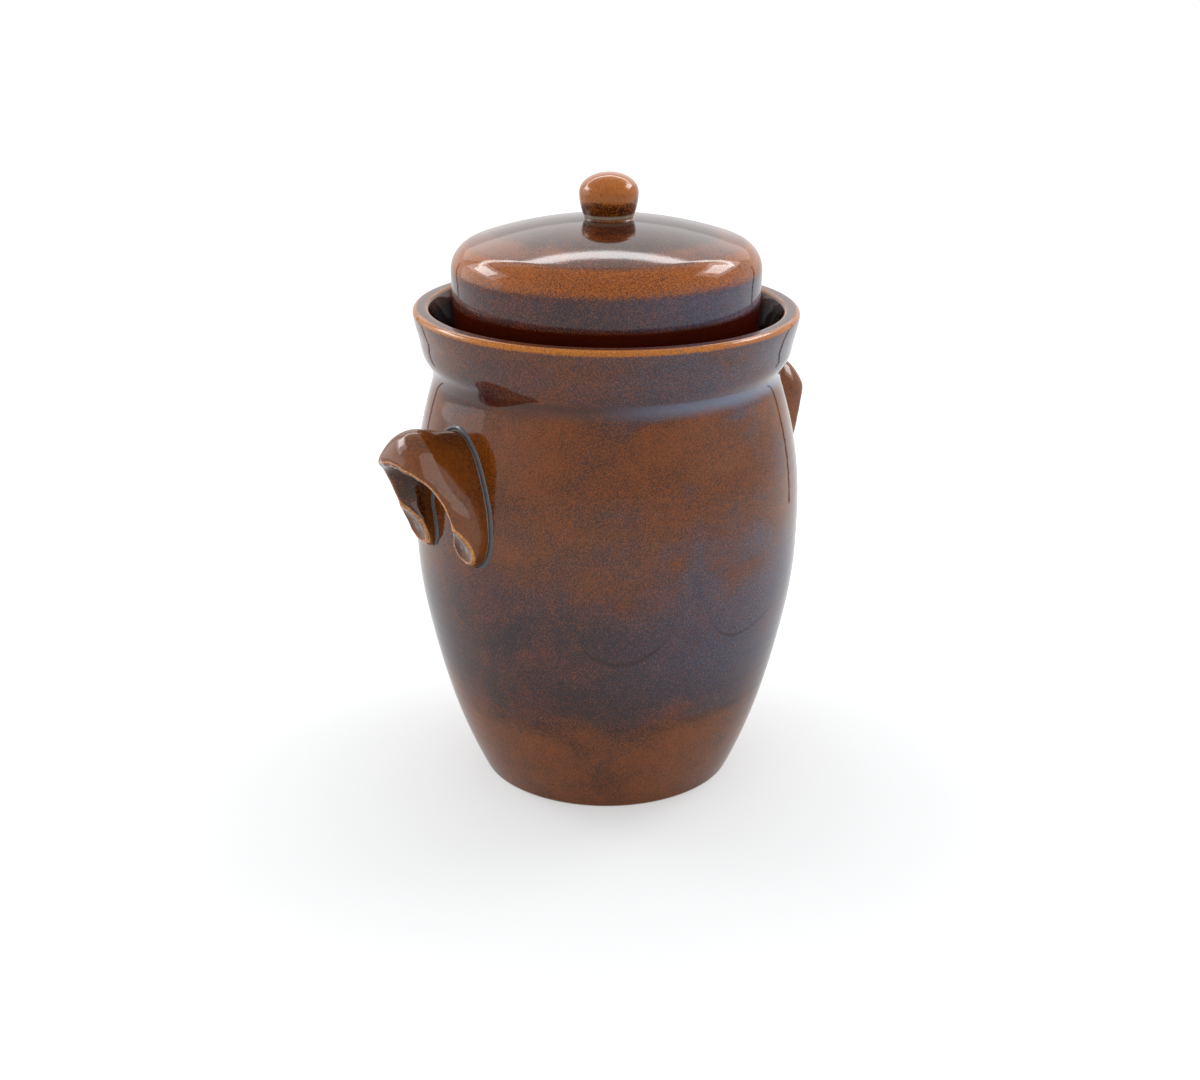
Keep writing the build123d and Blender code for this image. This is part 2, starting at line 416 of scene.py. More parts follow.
def thrown(
    name: str,
    line: list[Point],
    angles: list[float],
    shift: Callable[[float, float, float], Point] | None = None,
    middle: Point = (0.0, 0.0),
) -> bpy.types.Object:
    """Turn an outline about an upright axis, as on a potter's wheel.

    Args:
        name: name of the object.
        line: outline as (radius, height), from the axis back to the axis, with the clay on its left.
        angles: angles of the mesh's upright lines, in radians.
        shift: gives the radius and height for an angle, radius and height, or None for a true circle.
        middle: where the axis stands.

    Returns:
        The new object.
    """
    places: list[Place] = []
    breaks: list[float] = []
    rings: list[list[int]] = []
    for (radius, height), turn in zip(line, line_breaks(line)):
        first = len(places)
        if radius < 1e-4:
            places.append((middle[0], middle[1], height))
            breaks.append(turn)
            rings.append([first] * len(angles))
            continue
        for angle in angles:
            r, z = shift(angle, radius, height) if shift else (radius, height)
            places.append((middle[0] + r * math.cos(angle), middle[1] + r * math.sin(angle), z))
            breaks.append(turn)
        rings.append(list(range(first, len(places))))
    faces: list[tuple[int, ...]] = []
    for low, high in zip(rings, rings[1:]):
        for at in range(len(angles)):
            after = (at + 1) % len(angles)
            loop = dict.fromkeys((low[at], low[after], high[after], high[at]))
            if len(loop) > 2:
                faces.append(tuple(loop))
    return make_object(name, places, faces, breaks)


def even_angles(count: int) -> list[float]:
    """Evenly spaced angles round a circle, in radians."""
    return [2 * math.pi * at / count for at in range(count)]


def eased(share: float) -> float:
    """Smooth step from 0 to 1."""
    share = min(max(share, 0.0), 1.0)
    return share * share * (3 - 2 * share)


def finish_piece(thing: bpy.types.Object, body: str, slot: str, material: bpy.types.Material, *nodes: str) -> None:
    """Dress a piece, tie it to its body and hide the solids that it stands for.

    Args:
        thing: the piece.
        body: body that it moves with.
        slot: name of a material slot; not used.
        material: its finish.
        nodes: solids that it replaces.
    """
    thing.data.materials.append(material)
    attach(thing, body)
    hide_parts(*nodes)
    log.info("%s: %d faces, rides on %s", thing.name, len(thing.data.polygons), body)


# ---------------------------------------------------------------------------------------------
# Finishes


@dataclass(frozen=True)
class GlazeNodes:
    """Sockets that the steps of one glaze share.

    Attributes:
        tree: node tree.
        place: coordinates on the object in metres.
        height: height in millimetres.
        angle: angle round the pot in radians.
        specks: fine noise of the rust specks.
        clouds: broad noise of the thickness.
    """

    tree: bpy.types.NodeTree
    place: Socket
    height: Socket
    angle: Socket
    specks: Socket
    clouds: Socket


@dataclass(frozen=True)
class Pour:
    """A coat of glaze that ran down the pot and stopped in a row of hanging tongues.

    Attributes:
        height: height of the tongues' lowest points.
        rise: how far the gaps between two tongues lie above those points.
        tongues: tongues round the pot.
        turn: shift of the tongues round the pot, in tongues.
        sway: how far the edge strays up and down.
        sway_grain: how wide those strays are.
        step: change of the glaze's thickness on the way up over the edge.
        roll: extra thickness of the rolled edge.
        soft: half of the height over which the edge thickens.
        fade: height over which the roll dies out upwards.
        line: strength of the dark iron line along the edge.
        line_core: half width of the line's dark middle.
        line_rim: half width of the whole line.
        fullness: share of a half circle that each tongue's edge takes up.
    """

    height: float
    rise: float
    tongues: int
    turn: float
    sway: float
    step: float
    roll: float
    fade: float
    line: float
    sway_grain: float = 62.0
    soft: float = 3.0
    line_core: float = 0.3
    line_rim: float = 1.9
    fullness: float = 0.92

    def nodes(self, at: GlazeNodes) -> tuple[Socket, Socket]:
        """Nodes for the pour's thickness and its edge line.

        Args:
            at: what the glaze's steps share.

        Returns:
            Added thickness, and strength of the edge line.
        """
        node = partial(add, at.tree)
        stray = node(Kind.DIFFERENCE, node(Kind.NOISE, at.place, 1 / (self.sway_grain * MM), 1.0, 0.4), 0.5)
        part = node(Kind.FRACTION, node(Kind.SCALED, at.angle, self.tongues / (2 * math.pi), self.turn))
        across = node(Kind.SCALED, part, 2 * self.fullness, -self.fullness)
        arch = node(Kind.ROOT, node(Kind.REST, 1.0, node(Kind.PRODUCT, across, across)))
        edge = node(Kind.SCALED, arch, -self.rise, self.height + self.rise)
        above = node(Kind.DIFFERENCE, at.height, node(Kind.SCALED, stray, self.sway, edge))
        stepped = node(Kind.EASE, above, -self.soft, self.soft, 0.0, self.step + self.roll)
        faded = node(Kind.EASE, above, 0.0, self.fade, 0.0, -self.roll)
        line = node(Kind.EASE, node(Kind.SIZE, above), self.line_core, self.line_rim, self.line, 0.0)
        lowest = node(Kind.EASE, arch, 0.70, 0.95, 0.0, 1.0)  # the iron gathers at a tongue's lowest part
        return node(Kind.SUM, stepped, faded), node(Kind.PRODUCT, line, lowest)


@dataclass(frozen=True)
class Band:
    """Change of the glaze's thickness over a range of heights.

    Attributes:
        low: height where the change starts.
        high: height where it ends.
        change: how much thicker the glaze is above it.
    """

    low: float
    high: float
    change: float


@dataclass(frozen=True)
class CoatSpans:
    """Where each coat of an iron glaze starts to show and where it covers fully.

    Attributes:
        plum: thickness shares of the plum ground.
        ink: thickness shares of the ink ground.
        rust: levels of the noise that makes the rust specks.
        mist: thickness shares of the mist.
        crystal: levels of the noise that makes its crystals.
        misty: cosines of the angle off the misty side.
        lit: cosines of that angle for a pour's dark line.
        deep: turns of the surface, in radians a millimetre, where a hollow's glaze goes over from pool to iron.
        hollow: turns where glaze fills a hollow.
        gap: turns where a joint is a narrow gap that gets painted shade.
        worn: levels of the noise that wears the honey edges.
        edge: heights over the floor between which the honey edges fade in.
    """

    plum: Span = (0.05, 0.55)
    ink: Span = (0.50, 1.0)
    rust: Span = (0.43, 0.68)
    mist: Span = (0.24, 0.75)
    crystal: Span = (0.40, 0.70)
    misty: Span = (0.25, 1.0)
    lit: Span = (-0.05, 0.45)
    deep: Span = (-0.15, -0.22)
    hollow: Span = (-0.03, -0.11)
    gap: Span = (-0.34, -0.56)
    worn: Span = (0.35, 0.62)
    edge: Span = (6.0, 12.0)


@dataclass(frozen=True)
class IronGlaze:
    """Iron-brown stoneware glaze, poured on and fired in a smoky kiln.

    It is glass with iron in it, so it is glossy with sharp mirror images. Where it lies thin it is tan and breaks to
    honey on the edges, on the flat it is speckled rust over plum, and where it pools it turns ink dark with a
    blue-grey mist of crystals.

    The real specks and crystals are about 0.3 mm across, which is less than a pixel here. They are drawn at two to
    three times that size, so that they show. The clouds are a palm wide, the patches a finger wide, the runs and the
    waves as wide as a drop that ran down, and the peel is that of a fired gloss, 1 to 2 mm.

    Attributes:
        name: name of the material.
        honey: colour where the glaze breaks on an edge; on the handles it is paled to paint a highlight along the
            edge too.
        rust: colour of the specks.
        tan: ground where the glaze is thin.
        plum: ground where it is thicker.
        ink: ground where it is thickest.
        mist: colour of the crystals in thick glaze.
        iron: colour of the glaze that filled a hollow on the side without mist.
        pool: colour of the glaze that filled a hollow on the misty side.
        thickness: thickness share at the foot of the piece.
        cloud: how much the thickness wanders.
        cloud_grain: size of the clouds in millimetres.
        patch_grain: size of the patches with fewer specks.
        run_grain: width of the upright runs.
        bands: changes of the thickness with height.
        ragged: how far the bands' edges stray up and down in millimetres.
        pours: coats that ran down.
        drift: how much thicker the glaze lies on one side.
        drift_side: angle of the side away from it.
        runs: how much the thickness differs between upright runs.
        speck: size of the specks in millimetres.
        fleck_share: how strongly the specks show.
        honey_share: how strongly honey covers an edge.
        mist_share: how strongly the crystals show.
        mist_low: how much of it shows lower down.
        mist_from: height where the mist starts.
        mist_full: height where it is full.
        mist_top: height where it is gone again.
        mist_radius: distance from the pot's axis inside which there is none.
        mist_side: angle of the side away from the mist.
        channel_glaze_and_shade: colour in the water channel, partly thicker glaze and partly painted shade of the
            channel.
        well_from: height where the channel's colour starts.
        well_to: height where it ends.
        well_share: how strongly it shows.
        break_from: turn of the surface in radians a millimetre where honey starts.
        break_full: turn where honey is full.
        fray: how far the specks shift that turn.
        line: colour of the iron line along a pour's edge.
        crease_shade: near-black painted shade in the narrow gap at a joint.
        clay: colour of the bare clay at the foot.
        bare_below: height under which the clay is bare.
        roughness: roughness of the fired gloss.
        dull: how much rougher the bare clay is.
        peel_grain: size of the fine peel.
        peel_rise: height of the peel.
        wave_grain: size of the slow waves.
        wave_rise: height of the waves.
    """

    name: str
    honey: str
    rust: str
    tan: str
    plum: str
    ink: str
    mist: str
    iron: str
    pool: str
    thickness: float
    cloud: float = 1.2
    cloud_grain: float = 36.0
    patch_grain: float = 7.0
    run_grain: float = 9.0
    bands: tuple[Band, ...] = ()
    ragged: float = 26.0
    pours: tuple[Pour, ...] = ()
    drift: float = 0.0
    drift_side: float = 80.0
    runs: float = 0.3
    speck: float = 1.0
    fleck_share: float = 0.9
    honey_share: float = 0.95
    mist_share: float = 0.0
    mist_low: float = 0.25
    mist_from: float = 0.0
    mist_full: float = 1.0
    mist_top: float = 1000.0
    mist_radius: float = 0.0
    mist_side: float = 62.0
    channel_glaze_and_shade: str = "#22140a"
    well_from: float = 221.0
    well_to: float = 260.0
    well_share: float = 0.0
    break_from: float = 0.13
    break_full: float = 0.27
    fray: float = 0.13
    line: str = "#2c0c04"
    crease_shade: str = "#0a0a0c"
    clay: str = "#a08c74"
    bare_below: float = -1.0
    roughness: float = 0.07
    dull: float = 0.7
    peel_grain: float = 1.7
    peel_rise: float = 0.008
    wave_grain: float = 11.0
    wave_rise: float = 0.035

    def material(self) -> bpy.types.Material:
        """Make the glaze.

        Returns:
            The new material.
        """
        material, tree, surface = new_material(self.name)
        node = partial(add, tree)
        place = node(Kind.PLACE)
        flat = node(Kind.STRETCH, place, (1.0, 1.0, 1.7))  # the clouds lie flatter than they are wide
        at = GlazeNodes(
            tree=tree,
            place=place,
            height=node(Kind.PRODUCT, node(Kind.Z, place), 1 / MM),
            angle=node(Kind.ANGLE, node(Kind.Y, place), node(Kind.X, place)),
            specks=node(Kind.NOISE, place, 1 / (self.speck * MM), 2.0, 0.6),
            clouds=node(Kind.NOISE, flat, 1 / (self.cloud_grain * MM), 2.4, 0.52),
        )
        tree.links.new(self._gloss(at, self._colour(at, *self._thickness(at))), surface)
        return material

    def _thickness(self, at: GlazeNodes) -> tuple[Socket, Socket | float]:
        """Nodes for the glaze's thickness share and its dark lines.

        Args:
            at: what the steps share.

        Returns:
            Thickness share, and strength of the lines.
        """
        node = partial(add, at.tree)
        thick = node(Kind.SCALED, at.clouds, self.cloud, self.thickness - self.cloud / 2)
        # the mesh's extra thickness, which on the handles' undersides is partly painted shade
        thick = node(Kind.SUM, thick, node(Kind.ATTRIBUTE, attribute_name=DEPTH_LAYER))
        uneven = node(Kind.SUM, at.height, node(Kind.SCALED, at.clouds, self.ragged, -self.ragged / 2))
        for band in self.bands:
            thick = node(Kind.SUM, thick, node(Kind.EASE, uneven, band.low, band.high, 0.0, band.change))
        lines: Socket | float = 0.0
        for pour in self.pours:
            added, line = pour.nodes(at)
            thick = node(Kind.SUM, thick, added)
            lines = node(Kind.GREATER, lines, line)
        runny = node(Kind.STRETCH, at.place, (1.0, 1.0, 0.08))  # the runs are long and upright
        runs = node(Kind.NOISE, runny, 1 / (self.run_grain * MM), 2.0, 0.5)
        thick = node(Kind.DIFFERENCE, node(Kind.SCALED, runs, self.runs, thick), self.runs / 2)
        side = node(Kind.COSINE, node(Kind.SUM, at.angle, math.radians(self.drift_side)))
        return node(Kind.CLAMPED, side, self.drift, thick), lines

    def _colour(self, at: GlazeNodes, thick: Socket, lines: Socket | float) -> Socket:
        """Nodes for the glaze's colour, in coats that lie over each other.

        Args:
            at: what the steps share.
            thick: thickness share.
            lines: strength of the dark iron lines.

        Returns:
            The colour.
        """
        node = partial(add, at.tree)
        spans = CoatSpans()
        patches = node(Kind.NOISE, at.place, 1 / (self.patch_grain * MM), 2.0, 0.6)
        grains = node(Kind.NOISE, at.place, 1 / (self.speck * 1.5 * MM), 1.5, 0.6)
        crystals = node(Kind.NOISE, at.place, 1 / (self.speck * 0.95 * MM), 1.0, 0.5)
        turn = node(Kind.ATTRIBUTE, attribute_name=BREAK_LAYER)
        # the ground darkens grain by grain, and specks get fewer where the glaze is thick and from patch to patch
        local = node(Kind.SUM, node(Kind.SCALED, grains, 0.7, -0.35), thick)
        level = node(Kind.SCALED, patches, 0.14, node(Kind.SCALED, thick, -0.17, 0.03))
        specks = node(Kind.SUM, at.specks, level)
        coats: list[tuple[list[Socket | float], Socket | str]] = [
            ([node(Kind.EASE, local, *spans.plum, 0.0, 1.0)], self.plum),
            ([node(Kind.EASE, local, *spans.ink, 0.0, 1.0)], self.ink),
            ([node(Kind.EASE, specks, *spans.rust, 0.0, self.fleck_share)], self.rust),
        ]

        # crystals in the thick glaze, most of them on one side and none inside the channel
        facing = node(Kind.COSINE, node(Kind.SUM, at.angle, math.radians(self.mist_side)))
        side = node(Kind.EASE, facing, *spans.misty, 0.0, 1.0)
        radius = node(Kind.LENGTH, node(Kind.STRETCH, at.place, (1.0, 1.0, 0.0)))
        outside = node(Kind.RAMP, radius, (self.mist_radius - 0.8) * MM, self.mist_radius * MM, 0.0, 1.0)
        if self.mist_share:
            misty = [
                node(Kind.EASE, thick, *spans.mist, 0.0, self.mist_share),
                node(Kind.EASE, at.height, self.mist_from, self.mist_full, self.mist_low, 1.0),
                node(Kind.EASE, at.height, self.mist_top - 12, self.mist_top, 1.0, 0.0),
                outside,
                node(Kind.EASE, crystals, *spans.crystal, 0.30, 1.0),
                node(Kind.SCALED, side, 0.72, 0.28),
            ]
            coats.append((misty, self.mist))
        else:
            side = node(Kind.EASE, turn, *spans.deep, 1.0, 0.0)

        # the water channel's darker colour, partly thick glaze and partly painted shade, then a pour's dark line,
        # filled hollows and painted shade in the gaps at joints
        channel_darkening = [
            node(Kind.RAMP, at.height, self.well_from, self.well_from + 2, 0.0, self.well_share),
            node(Kind.EASE, at.height, self.well_to - 0.8, self.well_to + 0.8, 1.0, 0.0),
        ]
        if self.mist_radius:
            channel_darkening.append(node(Kind.DIFFERENCE, 1.0, outside))
        coats += [
            (channel_darkening, self.channel_glaze_and_shade),
            ([lines, node(Kind.EASE, facing, *spans.lit, 0.0, 1.0)], self.line),
            ([node(Kind.EASE, turn, *spans.hollow, 0.0, 0.9)], node(Kind.BLEND, side, self.iron, self.pool)),
            # painted shade, near black, in the narrow gaps at joints
            ([node(Kind.EASE, turn, *spans.gap, 0.0, 0.97)], self.crease_shade),
        ]

        # honey where the glaze broke on an edge, on the handles paled to paint a highlight too, and bare clay under
        # its ragged end at the foot
        half = self.fray / 2
        frayed = node(Kind.SCALED, at.specks, self.fray, turn)
        broken = [
            node(Kind.EASE, frayed, self.break_from + half, self.break_full + half, 0.0, self.honey_share),
            node(Kind.RAMP, at.specks, *spans.worn, 0.35, 1.0),
            node(Kind.RAMP, at.height, *spans.edge, 0.0, 1.0),
        ]
        foot = node(Kind.SCALED, patches, -0.8, at.height)
        bare = node(Kind.EASE, foot, self.bare_below - 0.9, self.bare_below - 0.5, 1.0, 0.0)
        coats += [(broken, self.honey), ([bare], self.clay)]
        colour: Socket | str = self.tan
        for (cover, *limits), shade in coats:
            for limit in limits:
                cover = node(Kind.PRODUCT, cover, limit)
            colour = node(Kind.BLEND, cover, colour, shade)
        return colour

    def _gloss(self, at: GlazeNodes, colour: Socket) -> Socket:
        """Nodes for the gloss and the faint waves of the fired surface.

        Args:
            at: what the steps share.
            colour: the glaze's colour.

        Returns:
            The finished surface.
        """
        node = partial(add, at.tree)
        peel = node(Kind.NOISE, at.place, 1 / (self.peel_grain * MM), 2.0, 0.6)
        waves = node(Kind.NOISE, at.place, 1 / (self.wave_grain * MM), 1.0, 0.4)
        relief = node(Kind.SCALED, waves, self.wave_rise, node(Kind.PRODUCT, peel, self.peel_rise))
        bare = node(Kind.RAMP, at.height, self.bare_below - 0.6, self.bare_below, self.dull, 0.0)
        # a speck is a little duller than the glass round it
        rough = node(Kind.SUM, node(Kind.SCALED, at.specks, 0.05, self.roughness - 0.02), bare)
        return node(Kind.GLOSSY, colour, rough, CERAMIC_IOR, node(Kind.BUMP, relief, MM, 1.0))


@dataclass(frozen=True)
class BareStoneware:
    """Unglazed fired stoneware, pressed in a mould.

    It is matt and sandy: pale grit in a grey-buff clay, with brown iron spots and fine pores, and it has no gloss to
    speak of. The grit is 0.9 mm, as in crank clay, and the pores lie 2.6 mm apart.

    Attributes:
        name: name of the material.
        clay: colour of the fired clay.
        sand: lighter colour of its grit.
        stain: colour where the kiln's flame stained it.
        spot: colour of the iron spots.
        grit: size of the grit in millimetres.
        stain_grain: size of the stains.
        pore_gap: distance between the pores.
        roughness: roughness of the fired clay.
    """

    name: str = "bare_fired_stoneware"
    clay: str = "#a8957c"
    sand: str = "#c9b99f"
    stain: str = "#8d7a63"
    spot: str = "#5b4636"
    grit: float = 0.9
    stain_grain: float = 18.0
    pore_gap: float = 2.6
    roughness: float = 0.82

    def material(self) -> bpy.types.Material:
        """Make the clay.

        Returns:
            The new material.
        """
        material, tree, surface = new_material(self.name)
        node = partial(add, tree)
        place = node(Kind.PLACE)
        grains = node(Kind.NOISE, place, 1 / (self.grit * MM), 3.0)
        clouds = node(Kind.NOISE, place, 1 / (self.stain_grain * MM), 3.0)
        pores = node(Kind.CELLS, place, 1 / (self.pore_gap * MM))
        # pale grit over the clay, then the kiln's stains and the iron spots in the pores
        colour = node(Kind.BLEND, node(Kind.CLAMPED, grains, 0.8, -0.05), self.clay, self.sand)
        colour = node(Kind.BLEND, node(Kind.RAMP, clouds, 0.45, 0.75, 0.0, 0.35), colour, self.stain)
        colour = node(Kind.BLEND, node(Kind.RAMP, pores, 0.10, 0.16, 0.8, 0.0), colour, self.spot)
        relief = node(Kind.SCALED, grains, 0.12, node(Kind.RAMP, pores, 0.05, 0.2, -0.15, 0.0))
        sand = node(Kind.BUMP, relief, MM, 0.8)
        tree.links.new(node(Kind.GLOSSY, colour, self.roughness, CERAMIC_IOR, sand), surface)
        return material


@dataclass(frozen=True)
class StudioFloor:
    """Matt white card under the pot, which keeps the soft shadow and fades to white around it.

    Attributes:
        name: name of the material.
        card: colour of the card, which the pot's light comes off.
        shade: colour that the camera sees under the glow.
        near: distance from the pot where the glow starts to rise, in metres.
        far: distance where it is full.
        near_glow: glow near the pot, kept low so that it paints shade round the foot.
        far_glow: glow far from it.
        gloss_loss: how much less of the glow the gloss mirrors.
    """

    name: str = "matt_white_card"
    card: str = "#ececec"
    shade: str = "#c0c2c3"
    near: float = 0.10
    far: float = 0.56
    near_glow: float = 0.425
    far_glow: float = 0.68
    gloss_loss: float = 0.27

    def material(self) -> bpy.types.Material:
        """Make the card.

        Returns:
            The new material.
        """
        material, tree, surface = new_material(self.name)
        node = partial(add, tree)
        camera, gloss = node(Kind.CAMERA_RAY), node(Kind.GLOSSY_RAY)
        away = node(Kind.LENGTH, node(Kind.PLACE))
        # less glow near the pot paints a soft shade round it, which fades to white further out
        level = node(Kind.EASE, away, self.near, self.far, self.near_glow, self.far_glow)
        level = node(Kind.SCALED, gloss, -self.gloss_loss, level)
        seen = node(Kind.BOTH, node(Kind.DIFFUSE, self.shade), node(Kind.GLOW, "#ffffff", level))
        direct = node(Kind.GREATER, camera, gloss)
        tree.links.new(node(Kind.EITHER, direct, node(Kind.DIFFUSE, self.card), seen), surface)
        return material


# The vessel shows the whole range: rust specks, a dark belt low down, blue mist on its right and a honey rim.
BODY_GLAZE = IronGlaze(
    name="iron_brown_stoneware_glaze",
    honey="#cc7812",
    rust="#844209",
    tan="#4e2807",
    plum="#38190d",
    ink="#281210",
    mist="#5d6a86",
    iron="#3c1a12",
    pool="#76829c",
    thickness=0.14,
    bands=(
        Band(38, 72, 0.74), Band(92, 150, -0.38), Band(150, 195, -0.20), Band(212, 228, 0.38), Band(240, 262, -0.10),
    ),
    pours=(Pour(height=97, rise=62, tongues=9, turn=0.6, sway=34, step=-0.12, roll=0.26, fade=42, line=0.55),),
    drift=0.06,
    speck=0.65,
    mist_share=0.56,
    mist_low=0.4,
    mist_from=58.0,
    mist_full=96.0,
    mist_radius=90.2,
    # the near-black channel colour is partly thick glaze and partly painted shade of the channel
    channel_glaze_and_shade="#1c1008",
    well_share=0.95,
    break_from=0.17,
    break_full=0.30,
    fray=0.09,
    bare_below=1.2,
)
# The lid was dipped: an ink-dark crown, an orange shoulder, a misty blue skirt and a red-brown foot, darkened in the
# channel with painted shade.
LID_GLAZE = IronGlaze(
    name="iron_brown_lid_glaze",
    honey="#c0680e",
    rust="#8c460c",
    tan="#602d07",
    plum="#36120a",
    ink="#260c09",
    mist="#5a6484",
    iron="#40160a",
    pool="#5e6880",
    thickness=0.62,
    bands=(Band(252, 262, 0.18), Band(271, 281, -0.50), Band(291.0, 293.6, 0.55)),
    ragged=5.0,
    drift=0.10,
    speck=0.7,
    honey_share=0.85,
    mist_share=0.70,
    mist_low=0.0,
    mist_from=257.0,
    mist_full=261.5,
    mist_top=284.0,
    # the skirt foot's dark red-brown is partly glaze and partly painted shade of the channel
    channel_glaze_and_shade="#3c0d03",
    well_from=200.0,
    well_to=258.6,
    well_share=0.93,
    break_from=0.035,
    break_full=0.085,
    fray=0.04,
)
# The handles carry a thinner coat, so they are plain honey brown; their pale edges are partly broken glaze and partly
# painted highlight, and their grey pools partly pooled glaze and partly painted reflection.
EAR_GLAZE = IronGlaze(
    name="honey_brown_handle_glaze",
    # pale honey: partly glaze broken thin on the edges, partly painted highlight along the free edge
    honey="#d28f4c",
    rust="#8e4a12",
    tan="#68360c",
    plum="#44200a",
    ink="#220e08",
    mist="#6a7880",
    iron="#465058",
    # pale grey pool: partly glaze gathered in the thumb prints, partly painted reflection of the pale studio
    pool="#828a8c",
    thickness=0.15,
    speck=1.4,
    fleck_share=0.40,
    break_from=0.46,
    break_full=0.52,
    fray=0.03,
)
# The knob is honey coloured on top, where the coat ran off it, and dark round its foot, where it gathered.
KNOB_GLAZE = IronGlaze(
    name="honey_brown_knob_glaze",
    honey="#bc6c10",
    rust="#bc6a0c",
    tan="#a2580a",
    plum="#3c1408",
    ink="#280c05",
    mist="#6a5a50",
    # the pale colour in the fillet at the knob's foot is partly pooled glaze and partly painted highlight
    iron="#a89884",
    pool="#a89884",
    thickness=0.60,
    bands=(Band(306, 312, -0.52),),
    runs=0.1,
    speck=0.8,
    fleck_share=0.5,
)


# ---------------------------------------------------------------------------------------------
# Pieces


@dataclass
class Vessel:
    """The thrown crock with its neck and its collar, which make one fired piece.

    Attributes:
        wall: points up the outer wall, from foot to rim, as (radius, height).
        inner_wall: points up the inner wall, from the floor's corner to the ceiling's.
        foot_radius: radius of the flat foot.
        floor_height: height of the floor inside.
        ceiling_height: height of the ceiling under the shoulder.
        shoulder_height: height of the channel's floor.
        wall_thickness: thickness of the wall.
        rim_height: height of the rim.
        lip_radius: inner radius of the rim.
        channel_radius: radius where the channel's floor meets the collar.
        neck_inner: inner radius of the neck.
        neck_outer: outer radius of the neck.
        neck_top: height of the neck.
        lean: how far the rim dips to the picture's right.
        unround: how far the wall is out of round.
        ridge: height of the throwing ridges.
        ridge_pitch: distance between them.
        lines: upright lines of the mesh.
    """

    wall: tuple[Point, ...] = (
        (68.8, 0.0), (80.49, 27.84), (89.11, 55.68), (95.69, 83.52), (100.5, 111.36), (102.2, 139.2),
        (101.5, 167.69), (97.0, 195.35), (92.34, 212.94), (90.6, 223.0), (91.54, 226.28), (94.41, 230.87),
        (96.62, 239.4), (98.99, 249.24), (100.0, 255.8),
    )
    foot_radius: float = 68.8
    floor_height: float = 11.0
    ceiling_height: float = 214.0
    shoulder_height: float = 223.0
    wall_thickness: float = 8.5
    rim_height: float = 255.8
    lip_radius: float = 91.65
    channel_radius: float = 83.0
    neck_inner: float = 62.5
    neck_outer: float = 69.5
    neck_top: float = 257.8
    lean: float = 0.9
    unround: float = 0.16
    ridge: float = 0.035
    ridge_pitch: float = 7.5
    lines: int = 240

    def __post_init__(self) -> None:
        """Fit the wall's curve and its table of radii."""
        self.curve = SmoothLine(list(self.wall), (0.47, 1.0), (0.16, 1.0))
        self.table = self.curve.sampled(0.4)

    def radius(self, height: float) -> float:
        """Find the wall's outer radius.

        Args:
            height: height over the floor.

        Returns:
            The radius there.
        """
        spot = bisect.bisect_left([point[1] for point in self.table], height)
        spot = min(max(spot, 1), len(self.table) - 1)
        low, high = self.table[spot - 1], self.table[spot]
        return low[0] + (high[0] - low[0]) * (height - low[1]) / (high[1] - low[1])

    def outline(self) -> list[Point]:
        """Outline of the clay, from the middle of the foot round to the middle of the floor.

        Returns:
            Points as (radius, height).
        """
        foot = (self.foot_radius, 0.0)
        rim = self.wall[-1]
        outside = away_from(away_from(self.curve.sampled(2.4), foot, 3.2), rim, 4.2)
        inside = [(r - self.wall_thickness, z) for r, z in self.table if self.floor_height < z < self.ceiling_height]
        low = (inside[0][0], self.floor_height)
        high = (inside[-1][0], self.ceiling_height)
        inside = away_from(away_from(inside[::6], low, 12), high, 13)
        # a third number is a corner's rounding, and the foot is hollowed by a millimetre inside its ring
        path: list[Point | tuple[float, float, float]] = [(0.0, 1.1), (58.0, 1.0), (60.0, 0.35), (61.5, 0.0)]
        path += [(*foot, 1.4), *outside, (*rim, 2.6), (self.lip_radius, self.rim_height, 2.4)]
        path += [(self.channel_radius, self.shoulder_height, 2.6), (self.neck_outer, self.shoulder_height, 2.6)]
        path += [(self.neck_outer, self.neck_top, 2.8), (self.neck_inner, self.neck_top, 2.8)]
        path += [(self.neck_inner, self.ceiling_height, 4.0), (*high, 9.0), *reversed(inside), (*low, 8.0)]
        path += [(0.0, self.floor_height)]
        return rounded(path)

    def shift(self, angle: float, radius: float, height: float) -> Point:
        """Faint unevenness from the wheel and the kiln.

        Args:
            angle: angle round the pot in radians.
            radius: true radius.
            height: true height.

        Returns:
            Radius and height of the real surface.
        """
        if radius <= self.neck_outer + 3:
            return radius, height
        oval = self.unround * (math.sin(2 * angle + 0.6) + math.sin(3 * angle + height / 45) / 2)
        ridges = self.ridge * math.sin(height * 2 * math.pi / self.ridge_pitch + angle)
        dip = self.lean * math.cos(angle - math.radians(Camera.azimuth))
        collar = eased((height - self.shoulder_height) / 20)
        return radius + (oval + ridges) * eased(height / 40), height - dip * collar

    def build(self) -> bpy.types.Object:
        """Make the vessel's mesh."""
        return thrown("crock_with_water_channel", self.outline(), even_angles(self.lines), self.shift)

    def dress(self, thing: bpy.types.Object) -> None:
        """Glaze the vessel and tie it to the crock."""
        finish_piece(thing, "crock", "brown_glaze", BODY_GLAZE.material(), "crock_body", "water_channel_collar")


